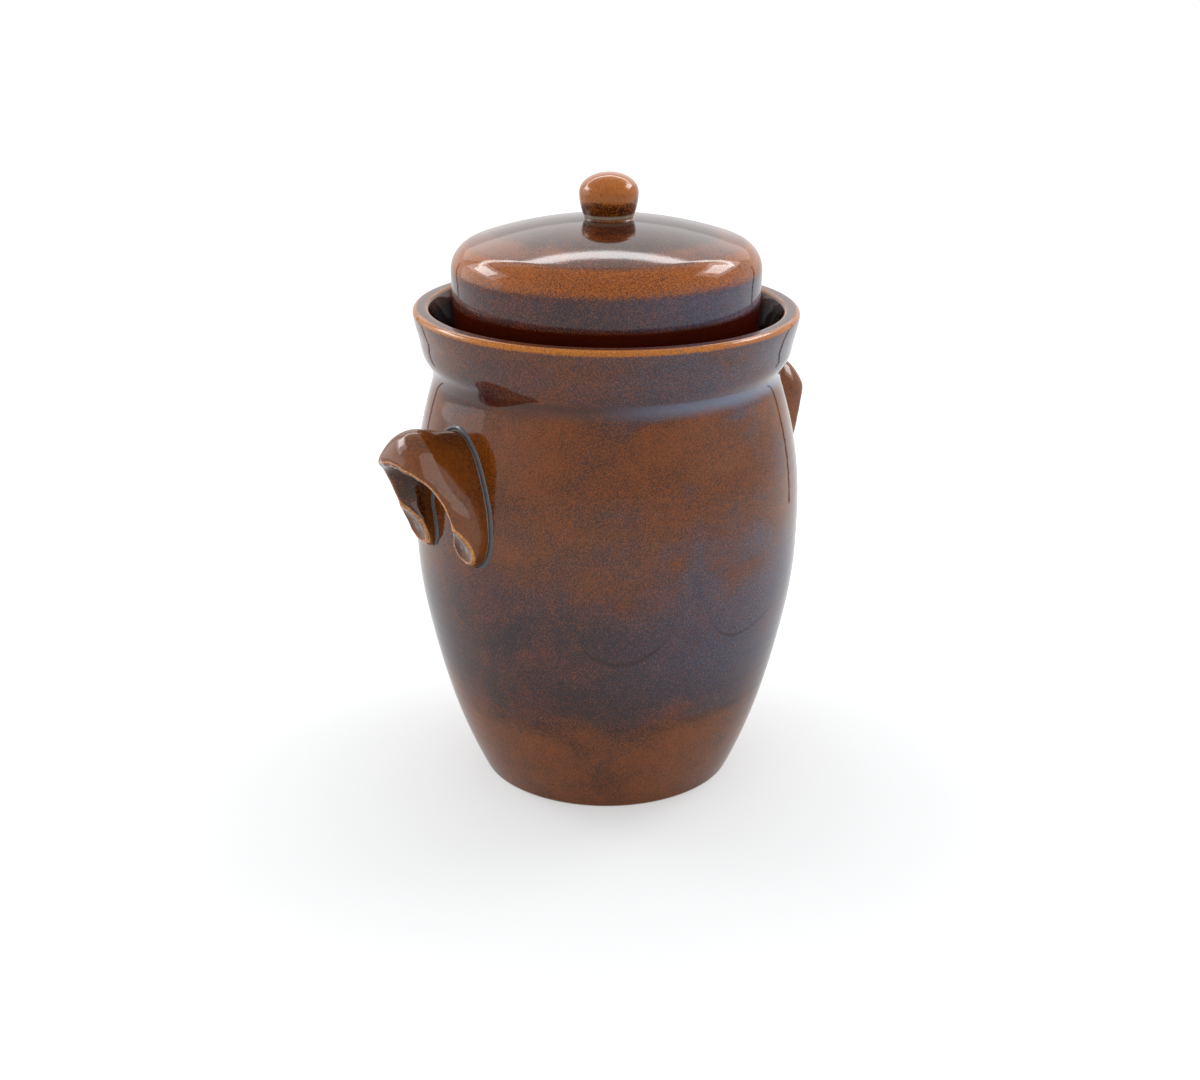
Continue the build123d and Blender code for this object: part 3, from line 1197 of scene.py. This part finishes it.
@dataclass
class Ear:
    """An ear handle: a strap of clay bent to an arch, luted on, its feet pressed down with the thumb.

    Attributes:
        vessel: the vessel that carries it.
        side: the end of the X axis that it stands at.
        half_width: half of the arch's width.
        arch_height: height of the arch.
        foot_height: height of its feet.
        reach: how far the strap stands out at the crown.
        thickness: thickness of the strap.
        rise: how far the strap climbs on its way out.
        droop: how far its free edge sinks again.
        splay: how far its free edge spreads.
        lip: how much thicker the free edge is rolled on its underside.
        corner: rounding of the free edge.
        edge: how much the glaze breaks on the free edge's very middle, drawing a pale line that is partly painted
            highlight.
        hang_and_shade: how much thicker and darker the glaze lies on the strap's underside, partly glaze that hung
            there and partly painted shade under the strap.
        bead: points across the bead of slip on the joint, as (side, out, turn of the surface).
        fuller: how much further the half away from the thumb hand reaches, as a share.
        toe: how far a foot runs on past the arch.
        arch: places on the arch as shares of its half width and height, from foot to crown.
        strap: share of the way, then shares of reach and thickness, and of the thickness at the free edge.
        thumb_radius: radius of the ball that stands for the thumb.
        thumb_depth: how deep it presses.
        thumb_rise: height of the print's middle over the foot.
        thumb_stand: how far the print's middle stands out from the wall.
        thumb_side: how far it lies from the handle's middle.
        thumb_tilt: how far the thumb pointed down.
        thumb_ridge: height of the clay that it pushed up round the print.
        thumb_break: how much the glaze breaks on that ridge.
        thumb_pool_and_reflection: how much glaze gathers in the print, which turns it pale grey, partly pooled glaze
            and partly painted reflection.
        rows: sections along the arch.
        toe_rows: sections round each of its ends.
        columns: points across half of the strap.
    """

    vessel: Vessel
    side: Side
    half_width: float = 23.0
    arch_height: float = 57.0
    foot_height: float = 143.5
    reach: float = 38.3
    thickness: float = 9.6
    rise: float = 10.5
    droop: float = 15.5
    splay: float = 10.0
    lip: float = 2.6
    corner: float = 4.2
    edge: float = 0.20
    hang_and_shade: float = 0.55
    # the turns of -0.58 and -0.80 at the wall put painted shade into the joint's groove
    bead: tuple[tuple[float, float, float], ...] = (
        (3.1, -0.35, -0.20), (2.7, 0.25, -0.22), (2.25, 0.75, -0.23), (1.7, 0.98, -0.23), (1.2, 0.80, -0.26),
        (0.92, 0.35, -0.58), (0.62, 0.02, -0.80), (0.30, 0.02, -0.80), (0.0, 0.80, -0.02),
    )
    fuller: float = 0.04
    toe: float = 2.2
    arch: tuple[Point, ...] = (
        (0.78, 0.0), (0.86, 0.12), (0.96, 0.28), (0.97, 0.47), (0.76, 0.71), (0.39, 0.92), (0.0, 1.0),
    )
    strap: tuple[tuple[float, float, float, float], ...] = (
        (0.0, 0.09, 0.95, 0.90), (0.04, 0.16, 1.40, 0.95), (0.11, 0.24, 1.68, 0.97), (0.22, 0.33, 1.62, 0.90),
        (0.34, 0.43, 1.22, 0.72), (0.48, 0.55, 1.00, 0.64), (0.62, 0.69, 0.97, 0.70), (0.76, 0.85, 0.97, 0.82),
        (0.90, 0.96, 0.97, 0.92), (1.0, 0.98, 0.97, 0.94),
    )
    thumb_radius: float = 24.0
    thumb_depth: float = 3.4
    thumb_rise: float = 10.5
    thumb_stand: float = 8.8
    thumb_side: float = 20.2
    thumb_tilt: float = -25.0
    thumb_ridge: float = 0.55
    thumb_break: float = 0.72
    thumb_pool_and_reflection: float = 0.175
    rows: int = 128
    toe_rows: int = 9
    columns: int = 24

    def __post_init__(self) -> None:
        """Fit the arch's curve and the curves of the strap's sizes."""
        half = [(self.half_width * s, self.foot_height + self.arch_height * h) for s, h in self.arch]
        self.line = SmoothLine(half + [(-s, h) for s, h in reversed(half[:-1])])

    def strap_at(self, share: float) -> tuple[float, float, float]:
        """Sizes of the strap on the way from a foot to the crown.

        Args:
            share: share of the way.

        Returns:
            Reach, half of the thickness, and half of the thickness at the free edge.
        """
        rows = self.strap
        spot = min(max(bisect.bisect_right([row[0] for row in rows], share) - 1, 0), len(rows) - 2)
        low, high = rows[spot], rows[spot + 1]
        part = (share - low[0]) / (high[0] - low[0])
        reach, thick, front = (a + (b - a) * part for a, b in zip(low[1:], high[1:]))
        half = self.thickness * thick / 2
        return self.reach * reach, half, half * front

    def section(self, reach: float, half: float, tip: float, size: float) -> list[tuple[float, float, float]]:
        """Outline across the strap, from the wall over the free edge and back to the wall.

        Args:
            reach: how far it stands out here.
            half: half of its thickness at the wall.
            tip: half of its thickness at the free edge.
            size: share of the bead's full size.

        Returns:
            Points as (side, out, turn of the surface).
        """
        # the shares of the reach keep the points in order where the strap is short, at its ends
        foot = [(half + side * size, min(out, reach * 0.3), turn) for side, out, turn in self.bead]
        corner = reach - min(self.corner, reach * 0.35)
        start = (foot[-1][0], foot[-1][1])
        flank = max(reach * 0.35, start[1] * 1.5)
        spots = [start, (half, flank), (tip, max(corner, flank * 1.1)), (0.0, max(reach, flank * 1.25))]
        rest = SmoothLine(spots, (0.0, 1.0), (-1.0, 0.0))
        upper = [rest.at(at / self.columns) for at in range(1, self.columns + 1)]
        whole = [start, *upper, *[(-side, out) for side, out in reversed(upper[:-1])], (-start[0], start[1])]
        turns = line_breaks(whole, 1.0)
        for (side, out), turn in zip(upper, turns[1:]):
            foot.append((side, out, turn + self.edge * math.exp(-((side / 0.6) ** 2))))
        return foot + [(-side, out, turn) for side, out, turn in reversed(foot[:-1])]

    def placed(self, share: float, side: float, out: float, past: float) -> Place:
        """Place on the +X handle of a point of a section.

        Args:
            share: place along the arch, from 0 to 1.
            side: distance across the strap.
            out: distance out from the wall.
            past: distance past the end of the arch.

        Returns:
            The place in millimetres.
        """
        middle, height = self.line.at(share)
        along = self.line.direction(share)
        middle, height = middle + along[0] * past, height + along[1] * past
        bend = math.sin(math.pi * share)
        # the half away from the thumb hand reaches a little further
        swell = math.sin(math.pi * min(max((share - 0.10) / 0.42, 0.0), 1.0)) ** 2
        out *= 1 + self.fuller * swell
        far = max(out, 0.0) / self.reach
        y = middle + along[1] * side
        z = height - along[0] * side
        # the strap hugs the wall at its root and straightens within 12 mm
        on_wall = math.sqrt(self.vessel.radius(z) ** 2 - y**2)
        straight = math.sqrt(self.vessel.radius(height) ** 2 - middle**2)
        x = on_wall + (straight - on_wall) * eased(out / 12) + out
        y += self.splay * far**2 * middle / self.half_width * bend
        z += (self.rise * far - self.droop * far**4) * bend
        z -= self.lip * bend**2 * eased(-side / 4.5) * eased((far - 0.30) / 0.6)
        return x, y, z

    def pressed(self, place: Place) -> tuple[Place, float]:
        """Press the thumb prints into a place on the handle.

        Args:
            place: a place on the handle before pressing.

        Returns:
            The place after it, and how sharply the glaze breaks there.
        """
        height = self.foot_height + self.thumb_rise
        tilt = math.radians(self.thumb_tilt)
        away = Vector((math.cos(tilt), 0.0, math.sin(tilt)))
        side = math.copysign(self.thumb_side, place[1])
        centre = Vector((self.vessel.radius(height) + self.thumb_stand, side, height))
        centre += away * (self.thumb_radius - self.thumb_depth)
        offset = Vector(place) - centre
        depth = self.thumb_radius - offset.length
        across = math.hypot(place[1] - side, place[2] - height)
        if depth < -6 or across > 17:  # too far from the print to be moved
            return place, 0.0
        push = (depth + math.sqrt(depth * depth + 0.25)) / 2
        ridge = self.thumb_ridge * math.exp(-((depth + 0.9) ** 2))
        moved = Vector(place) + offset.normalized() * (push - ridge)
        broken = self.thumb_break * math.exp(-(((depth + 0.7) / 1.2) ** 2))
        return (moved.x, moved.y, moved.z), broken - self.thumb_pool_and_reflection * eased((depth - 0.4) / 3.4)

    def stations(self) -> list[tuple[float, float, float]]:
        """Sections along the strap, closer together at its two rounded ends.

        Returns:
            Share along the arch, distance past its end and share of the full size, for each section.
        """
        quarter = [math.pi / 2 * at / self.toe_rows for at in range(1, self.toe_rows + 1)]
        ends = [(self.toe * math.sin(angle), max(math.cos(angle), 0.02)) for angle in quarter]
        start = [(0.0, -past, size) for past, size in reversed(ends)]
        along = [(at / self.rows, 0.0, 1.0) for at in range(self.rows + 1)]
        return start + along + [(1.0, past, size) for past, size in ends]

    def build(self) -> bpy.types.Object:
        """Make the handle's mesh.

        Returns:
            The new object.
        """
        places: list[Place] = []
        breaks: list[float] = []
        depths: list[float] = []
        rings = []
        for share, past, size in self.stations():
            reach, half, tip = self.strap_at(1 - abs(share * 2 - 1))
            outline = self.section(max(reach * size, 0.3), half * size, tip * size, max(size, 0.3))
            rings.append(list(range(len(places), len(places) + len(outline))))
            for side, out, turn in outline:
                place, glaze = self.pressed(self.placed(share, side, out, past))
                places.append((place[0] * self.side.value, place[1], place[2]))
                breaks.append(turn + glaze)
                # thicker, darker glaze on the underside: partly glaze that hung there, partly painted shade under the
                # strap
                depths.append(self.hang_and_shade * eased(-side / 3) * eased((out - 2) / 6))
        faces: list[tuple[int, ...]] = [tuple(rings[0]), tuple(rings[-1])]
        for low, high in zip(rings, rings[1:]):
            faces += [(low[at], low[at + 1], high[at + 1], high[at]) for at in range(len(low) - 1)]
            faces.append((low[0], high[0], high[-1], low[-1]))
        return make_object(f"{self.side.name.lower()}_ear_handle", places, faces, breaks, depths)

    def dress(self, thing: bpy.types.Object, material: bpy.types.Material) -> None:
        """Glaze the handle and tie it to the crock."""
        finish_piece(thing, "crock", "honey_glaze", material, f"{self.side.name.lower()}_handle")


@dataclass
class Lid:
    """The domed lid whose skirt stands in the water channel.

    Attributes:
        seat_height: height of the skirt's foot.
        crown_height: height of the dome's top.
        skirt_radius: outer radius of the skirt.
        skirt_thickness: thickness of the skirt.
        taper: how much narrower the skirt's foot is.
        dome_radius: radius of the dome.
        thickness: thickness of the dome.
        shoulder_rounding: rounding between dome and skirt.
        vent_radius: radius of the two gas notches in the skirt's foot.
        unround: how far the lid is out of round.
        lines: upright lines of the mesh.
        notch_step: angle between the added lines at the notches, in radians.
        closest: lines that are closer to the next one than this angle are left out.
    """

    seat_height: float = 223.0
    crown_height: float = 300.2
    skirt_radius: float = 79.8
    skirt_thickness: float = 6.5
    taper: float = 1.4
    dome_radius: float = 214.0
    thickness: float = 7.0
    shoulder_rounding: float = 15.0
    vent_radius: float = 4.0
    unround: float = 0.10
    lines: int = 240
    notch_step: float = 0.0035
    closest: float = 0.0012

    def dome_height(self, radius: float, ball: float, crown: float) -> float:
        """Height of a ball's surface at a distance from its top."""
        return crown - ball + math.sqrt(ball**2 - radius**2)

    def outline(self) -> list[Point]:
        """Outline of the clay, from the middle of the ceiling round to the middle of the crown.

        Returns:
            Points as (radius, height).
        """
        inner = self.skirt_radius - self.skirt_thickness
        ball, crown = self.dome_radius - self.thickness, self.crown_height - self.thickness
        eave = self.dome_height(self.skirt_radius, self.dome_radius, self.crown_height)
        inner_eave = self.dome_height(inner, ball, crown)
        # rings of the dome stand 3 mm apart and keep clear of the rounded corners
        under = [(r, self.dome_height(r, ball, crown)) for r in range(0, 64, 3)]
        over = [(r, self.dome_height(r, self.dome_radius, self.crown_height)) for r in range(69, -1, -3)]
        path: list[Point | tuple[float, float, float]] = [*under, (inner, inner_eave, 6.0)]
        foot = self.skirt_radius - self.taper
        path += [(inner - self.taper / 2, self.seat_height, 1.6), (foot, self.seat_height, 1.6)]
        path += [(self.skirt_radius, eave, self.shoulder_rounding), *over]
        return rounded(path, 2.5)

    def shift(self, angle: float, radius: float, height: float) -> Point:
        """Cut the gas notches and add the wheel's faint unevenness.

        Args:
            angle: angle round the lid in radians.
            radius: true radius.
            height: true height.

        Returns:
            Radius and height of the real surface.
        """
        oval = self.unround * math.sin(2 * angle + 1.1) * eased((radius - 20) / 50)
        aside = abs(math.cos(angle)) * radius
        roof = self.seat_height + math.sqrt(max(self.vent_radius**2 - aside**2, 0.0))
        return radius + oval, max(height, roof) if aside < self.vent_radius else height

    def angles(self) -> list[float]:
        """Angles of the mesh's upright lines, closer together at the notches.

        Returns:
            The angles in radians, in order, without the closest neighbours.
        """
        found = even_angles(self.lines)
        for middle in (math.pi / 2, 3 * math.pi / 2):
            found += [middle + at * self.notch_step for at in range(-16, 17)]
        ordered = sorted({round(angle, 6) for angle in found})
        beside = ordered[1:] + [ordered[0] + 2 * math.pi]
        return [here for here, after in zip(ordered, beside) if after - here > self.closest]

    def build(self) -> bpy.types.Object:
        """Make the lid's mesh."""
        return thrown("domed_lid", self.outline(), self.angles(), self.shift)

    def dress(self, thing: bpy.types.Object) -> None:
        """Glaze the lid and tie it to the lid's body."""
        finish_piece(thing, "lid", "lid_glaze", LID_GLAZE.material(), "lid_shell")


@dataclass
class Knob:
    """The knob, luted on the middle of the lid.

    Attributes:
        lid: the lid that carries it.
        base_radius: radius at its foot.
        radius: its largest radius.
        waist_height: height of the largest radius over the foot.
        height: height of the knob.
        cap: places on the round cap, as angles over its largest radius.
        slip: radius of the slip in the joint.
        middle: where its axis stands.
        unround: how far it is out of round, as a share.
        lines: upright lines of the mesh.
    """

    lid: Lid
    base_radius: float = 12.6
    radius: float = 15.2
    waist_height: float = 13.0
    height: float = 22.9
    cap: tuple[float, ...] = (20.0, 40.0, 58.0, 74.0)
    slip: float = 1.0
    middle: Point = (0.9, -0.8)
    unround: float = 0.012
    lines: int = 96

    def outline(self) -> list[Point]:
        """Outline of the clay, from inside the dome round to the knob's top.

        Returns:
            Points as (radius, height).
        """
        lid = self.lid
        base = lid.dome_height(self.base_radius, lid.dome_radius, lid.crown_height)
        joint = []
        for at in range(7):
            angle = math.pi / 2 * at / 6
            radius = self.base_radius + self.slip * (1 - math.sin(angle))
            ground = lid.dome_height(radius, lid.dome_radius, lid.crown_height)
            joint.append((radius, ground + self.slip * (1 - math.cos(angle)) - 0.05))
        side = SmoothLine([joint[-1], (self.radius, base + self.waist_height)], (0.45, 1.0), (0.0, 1.0))
        cap_height = self.height - self.waist_height
        upper = [(self.radius, base + self.waist_height)]
        for degrees in self.cap:
            turn = math.radians(degrees)
            upper.append((self.radius * math.cos(turn), upper[0][1] + cap_height * math.sin(turn)))
        top = (0.0, base + self.height)
        ball = SmoothLine([*upper, top], (0.0, 1.0), (-1.0, 0.0))
        buried = joint[0][1] - 1.5  # the clay goes on a little under the dome's skin
        below = [(0.0, buried), (joint[0][0] * 0.5, buried), (joint[0][0], buried + 0.9)]
        return below + joint[:-1] + side.sampled(0.8)[:-1] + away_from(ball.sampled(0.8), top, 0.4) + [top]

    def shift(self, angle: float, radius: float, height: float) -> Point:
        """Pinch the knob a little out of round and tip it."""
        return radius * (1 + self.unround * math.sin(2 * angle + 0.4)), height + 0.01 * radius * math.sin(angle + 1.0)

    def build(self) -> bpy.types.Object:
        """Make the knob's mesh."""
        return thrown("lid_knob_ball", self.outline(), even_angles(self.lines), self.shift, self.middle)

    def dress(self, thing: bpy.types.Object) -> None:
        """Glaze the knob and tie it to the lid's body."""
        finish_piece(thing, "lid", "honey_glaze", KNOB_GLAZE.material(), "lid_knob")


@dataclass
class WeightStone:
    """One half-moon stone that keeps the fruit under the liquid.

    Attributes:
        side: the end of the X axis that it lies at.
        radius: radius of its round side.
        gap: gap between the two stones.
        low: height of its underside.
        thickness: thickness of the stone.
        rounding: rounding of its edges.
        hole_radius: radius of the finger hole.
        hole_place: distance of the hole from the pot's axis.
        parts: parts of the round side in the mesh.
        layers: the mesh's loops from the edge to the hole, as (share of the way out, inset, depth).
    """

    side: Side
    radius: float = 54.5
    gap: float = 3.0
    low: float = 11.0
    thickness: float = 16.0
    rounding: float = 2.6
    hole_radius: float = 9.0
    hole_place: float = 25.07
    parts: int = 60
    layers: tuple[tuple[float, float, float], ...] = (
        (0.8, 0.0, 0.0), (0.5, 0.0, 0.0), (0.2, 0.0, 0.0), (0.0, -1.4, 0.0), (0.0, -0.4, 0.4), (0.0, 0.0, 1.4),
    )

    def rims(self) -> tuple[list[Point], list[Point]]:
        """Outer rim and hole of the stone, with as many points on each.

        Returns:
            The rim and the hole, seen from above on the +X side.
        """
        flat = self.gap / 2
        tip = math.sqrt(self.radius**2 - flat**2)
        arc = math.acos(flat / self.radius)
        path: list[Point | tuple[float, float, float]] = [(flat, 0.0), (flat, -tip * 0.9), (flat, -tip, 3.0)]
        for at in range(2, self.parts - 1):  # keeps clear of the rounded tips
            angle = -arc + 2 * arc * at / self.parts
            path.append((self.radius * math.cos(angle), self.radius * math.sin(angle)))
        path += [(flat, tip, 3.0), (flat, tip * 0.9), (flat, 0.4)]
        outer = rounded(path, 2.4)
        hole = []
        for x, y in outer:
            angle = math.atan2(y, x - self.hole_place)
            hole.append((self.hole_place + self.hole_radius * math.cos(angle), self.hole_radius * math.sin(angle)))
        return outer, hole

    def build(self) -> bpy.types.Object:
        """Make the stone's mesh.

        Returns:
            The new object.
        """
        outer, hole = self.rims()
        top = self.low + self.thickness
        edge = self.rounding
        quarter = [math.pi / 2 * at / 6 for at in range(7)]
        half = [(1.0, edge * (1 - math.cos(turn)), edge * (1 - math.sin(turn))) for turn in quarter]
        half += self.layers
        loops = [(share, inset, top - depth) for share, inset, depth in half]
        loops += [(share, inset, self.low + depth) for share, inset, depth in reversed(half)]
        # each loop lies between the hole and the rim, and the top is a little uneven from the mould
        places: list[Place] = []
        for share, inset, height in loops:
            for (ox, oy), (hx, hy) in zip(outer, hole):
                length = math.dist((ox, oy), (hx, hy))
                part = share - inset / length
                x, y = hx + (ox - hx) * part, hy + (oy - hy) * part
                uneven = 0.15 * math.sin(x / 7) * math.sin(y / 9 + 1) if height > self.low + 8 else 0.0
                places.append((x * self.side.value, y, height - abs(uneven)))
        faces: list[tuple[int, ...]] = []
        count = len(outer)
        for ring in range(len(loops)):
            after = (ring + 1) % len(loops)
            for at in range(count):
                beside = (at + 1) % count
                faces.append((ring * count + at, ring * count + beside, after * count + beside, after * count + at))
        return make_object(f"{self.side.name.lower()}_half_moon_stone", places, faces)

    def dress(self, thing: bpy.types.Object, material: bpy.types.Material) -> None:
        """Give the stone its clay and tie it to its body."""
        side = self.side.name.lower()
        finish_piece(thing, f"{side}_stone", "bare_stoneware", material, f"{side}_weight_stone")


# ---------------------------------------------------------------------------------------------
# Studio


@dataclass
class Camera:
    """The camera at the photograph's place.

    Attributes:
        azimuth: angle round the pot.
        distance: level distance from the pot's axis.
        height: height over the floor.
        pitch: how far it looks down.
        lens: focal length.
        sensor: width of the sensor.
        shift: sideways shift as a share of the picture's width of 1200 pixels.
        sight: how far it sees, in metres.
    """

    azimuth: float = -39.2
    distance: float = 846.8
    height: float = 446.1
    pitch: float = 20.743
    lens: float = 50.0
    sensor: float = 36.0
    shift: float = -6.5 / 1200
    sight: float = 60.0

    def build(self) -> None:
        """Make the camera and look through it."""
        data = bpy.data.cameras.new("photo_camera")
        data.lens = self.lens
        data.sensor_width = self.sensor
        data.shift_x = self.shift
        data.clip_end = self.sight
        thing = linked("photo_camera", data)
        thing.location = stand(0.0, self.distance, self.height)
        thing.rotation_euler = (math.radians(90 - self.pitch), 0.0, math.radians(self.azimuth))
        bpy.context.scene.camera = thing


@dataclass(frozen=True)
class Softbox:
    """A soft rectangular lamp, aimed at the middle of the pot.

    Attributes:
        name: name of the lamp.
        turn: angle round the pot from the camera's side.
        distance: level distance from the pot.
        height: height of its middle.
        width: its width.
        tall: its height.
        radiance: how bright its face is, where 1 is white.
        gloss_only: whether it shows in the gloss alone and lights nothing.
        target: name of the only piece that it shows in, or None for all.
    """

    name: str
    turn: float
    distance: float
    height: float
    width: float
    tall: float
    radiance: float
    gloss_only: bool = False
    target: str | None = None

    def build(self) -> None:
        """Make the lamp."""
        data = bpy.data.lights.new(self.name, "AREA")
        data.shape = "RECTANGLE"
        data.size = self.width * MM
        data.size_y = self.tall * MM
        data.energy = self.radiance * math.pi * data.size * data.size_y
        thing = linked(self.name, data)
        thing.location = stand(self.turn, self.distance, self.height)
        thing.rotation_euler = (Vector((0, 0, AIM * MM)) - thing.location).to_track_quat("-Z", "Y").to_euler()
        thing.visible_camera = False
        thing.visible_diffuse = not self.gloss_only
        if self.target:
            shown = bpy.data.collections.new(f"{self.name}_target")
            shown.objects.link(bpy.data.objects[self.target])
            thing.light_linking.receiver_collection = shown


@dataclass
class Studio:
    """White floor, pale surroundings, soft lamps and two black flags.

    Attributes:
        floor_size: half of the floor's side.
        floor_drop: how far the card lies under the foot.
        level: brightness of the room at the horizon.
        zenith: brightness overhead.
        rise: heights of the sky, as sines, where its brightness starts and ends to change.
        dim: how much darker the gloss shows the room behind the camera.
        behind: cosines of the angle off the camera where that starts and where it is full.
        lamps: the soft lamps.
        flags: angles from the camera's side of the narrow flags that edge the panel's mirror image.
        flag_size: distance, width and height of a flag.
    """

    floor_size: float = 14000.0
    floor_drop: float = 0.3
    level: float = 0.98
    zenith: float = 0.72
    rise: Span = (0.1, 0.9)
    dim: float = 0.30
    behind: Span = (0.35, 0.95)
    lamps: tuple[Softbox, ...] = (
        Softbox("back_panel", 180.0, 800.0, 730.0, 1500.0, 430.0, 0.55, True),
        Softbox("top_strip", 180.0, 590.0, 880.0, 1900.0, 70.0, 5.5),
        Softbox("overhead", 180.0, 400.0, 880.0, 1300.0, 200.0, 0.40),
        Softbox("left_key", -109.0, 900.0, 740.0, 370.0, 230.0, 6.0),
        Softbox("left_spill", -108.0, 905.0, 745.0, 680.0, 380.0, 1.7),
        Softbox("left_wall", -104.0, 1000.0, 400.0, 930.0, 470.0, 0.65, True),
        Softbox("handle_card", 30.0, 900.0, 650.0, 1300.0, 1700.0, 1.2, True, "left_ear_handle"),
        Softbox("right_key", 112.0, 900.0, 960.0, 450.0, 290.0, 6.0),
        Softbox("right_spill", 112.0, 905.0, 940.0, 800.0, 460.0, 1.7),
    )
    flags: tuple[float, ...] = (128.0, -134.0)
    flag_size: tuple[float, float, float] = (550.0, 22.0, 360.0)

    def lay_floor(self) -> None:
        """Lay the card."""
        mesh = bpy.data.meshes.new("studio_floor")
        shape = bmesh.new()
        bmesh.ops.create_grid(shape, x_segments=2, y_segments=2, size=self.floor_size * MM)
        shape.to_mesh(mesh)
        shape.free()
        mesh.materials.append(StudioFloor().material())
        thing = linked("studio_floor", mesh)
        thing.location.z = -self.floor_drop * MM

    def light_room(self) -> None:
        """Light the room evenly and show it white to the camera."""
        world = bpy.data.worlds.new("pale_room")
        bpy.context.scene.world = world
        world.use_nodes = True
        tree = world.node_tree
        tree.nodes.clear()
        output = tree.nodes.new("ShaderNodeOutputWorld")
        node = partial(add, tree)
        way = node(Kind.WAY)
        level = node(Kind.EASE, node(Kind.Z, way), *self.rise, self.level, self.zenith)
        front = node(Kind.DOT, way, tuple(stand(0.0, 1 / MM, 0.0)))
        mirrored = node(Kind.PRODUCT, level, node(Kind.EASE, front, *self.behind, 1.0, 1 - self.dim))
        lit = node(Kind.SKY, "#ffffff", node(Kind.CHOICE, node(Kind.GLOSSY_RAY), level, mirrored))
        seen = node(Kind.SKY, "#ffffff", 1.0)
        tree.links.new(node(Kind.EITHER, node(Kind.CAMERA_RAY), lit, seen), output.inputs["Surface"])

    def hang_flags(self) -> None:
        """Hang the flags of black cloth, woven and matt, so that they show only as soft dark lines in the gloss."""
        distance, width, height = self.flag_size
        material, tree, surface = new_material("black_flag_cloth")
        tree.links.new(add(tree, Kind.DIFFUSE, "#0a0a0a"), surface)
        for at, turn in enumerate(self.flags):
            middle, aside = stand(turn, distance, 0.0), stand(turn + 90, width / 2, 0.0)
            up = Vector((0, 0, height * MM))
            mesh = bpy.data.meshes.new(f"flag_{at}")
            corners = (middle - aside, middle + aside, middle + aside + up, middle - aside + up)
            mesh.from_pydata([tuple(corner) for corner in corners], [], [(0, 1, 2, 3)])
            mesh.materials.append(material)
            thing = linked(f"flag_{at}", mesh)
            thing.visible_camera = thing.visible_diffuse = thing.visible_shadow = False

    def build(self) -> None:
        """Make floor, room, lamps and flags."""
        self.lay_floor()
        self.light_room()
        for lamp in self.lamps:
            lamp.build()
        self.hang_flags()


def main() -> None:
    """Build the pot and its studio."""
    logging.basicConfig(level=logging.INFO, format="%(message)s")
    bpy.context.scene.view_settings.view_transform = "Standard"
    Camera().build()
    vessel = Vessel()
    vessel.dress(vessel.build())
    ear_glaze = EAR_GLAZE.material()
    clay = BareStoneware().material()
    for side in Side:
        ear = Ear(vessel, side)
        ear.dress(ear.build(), ear_glaze)
    lid = Lid()
    lid.dress(lid.build())
    knob = Knob(lid)
    knob.dress(knob.build())
    for side in Side:
        stone = WeightStone(side)
        stone.dress(stone.build(), clay)
    Studio().build()
    bpy.context.view_layer.update()
    log.info("sizes written")


if __name__ == "__main__":
    main()
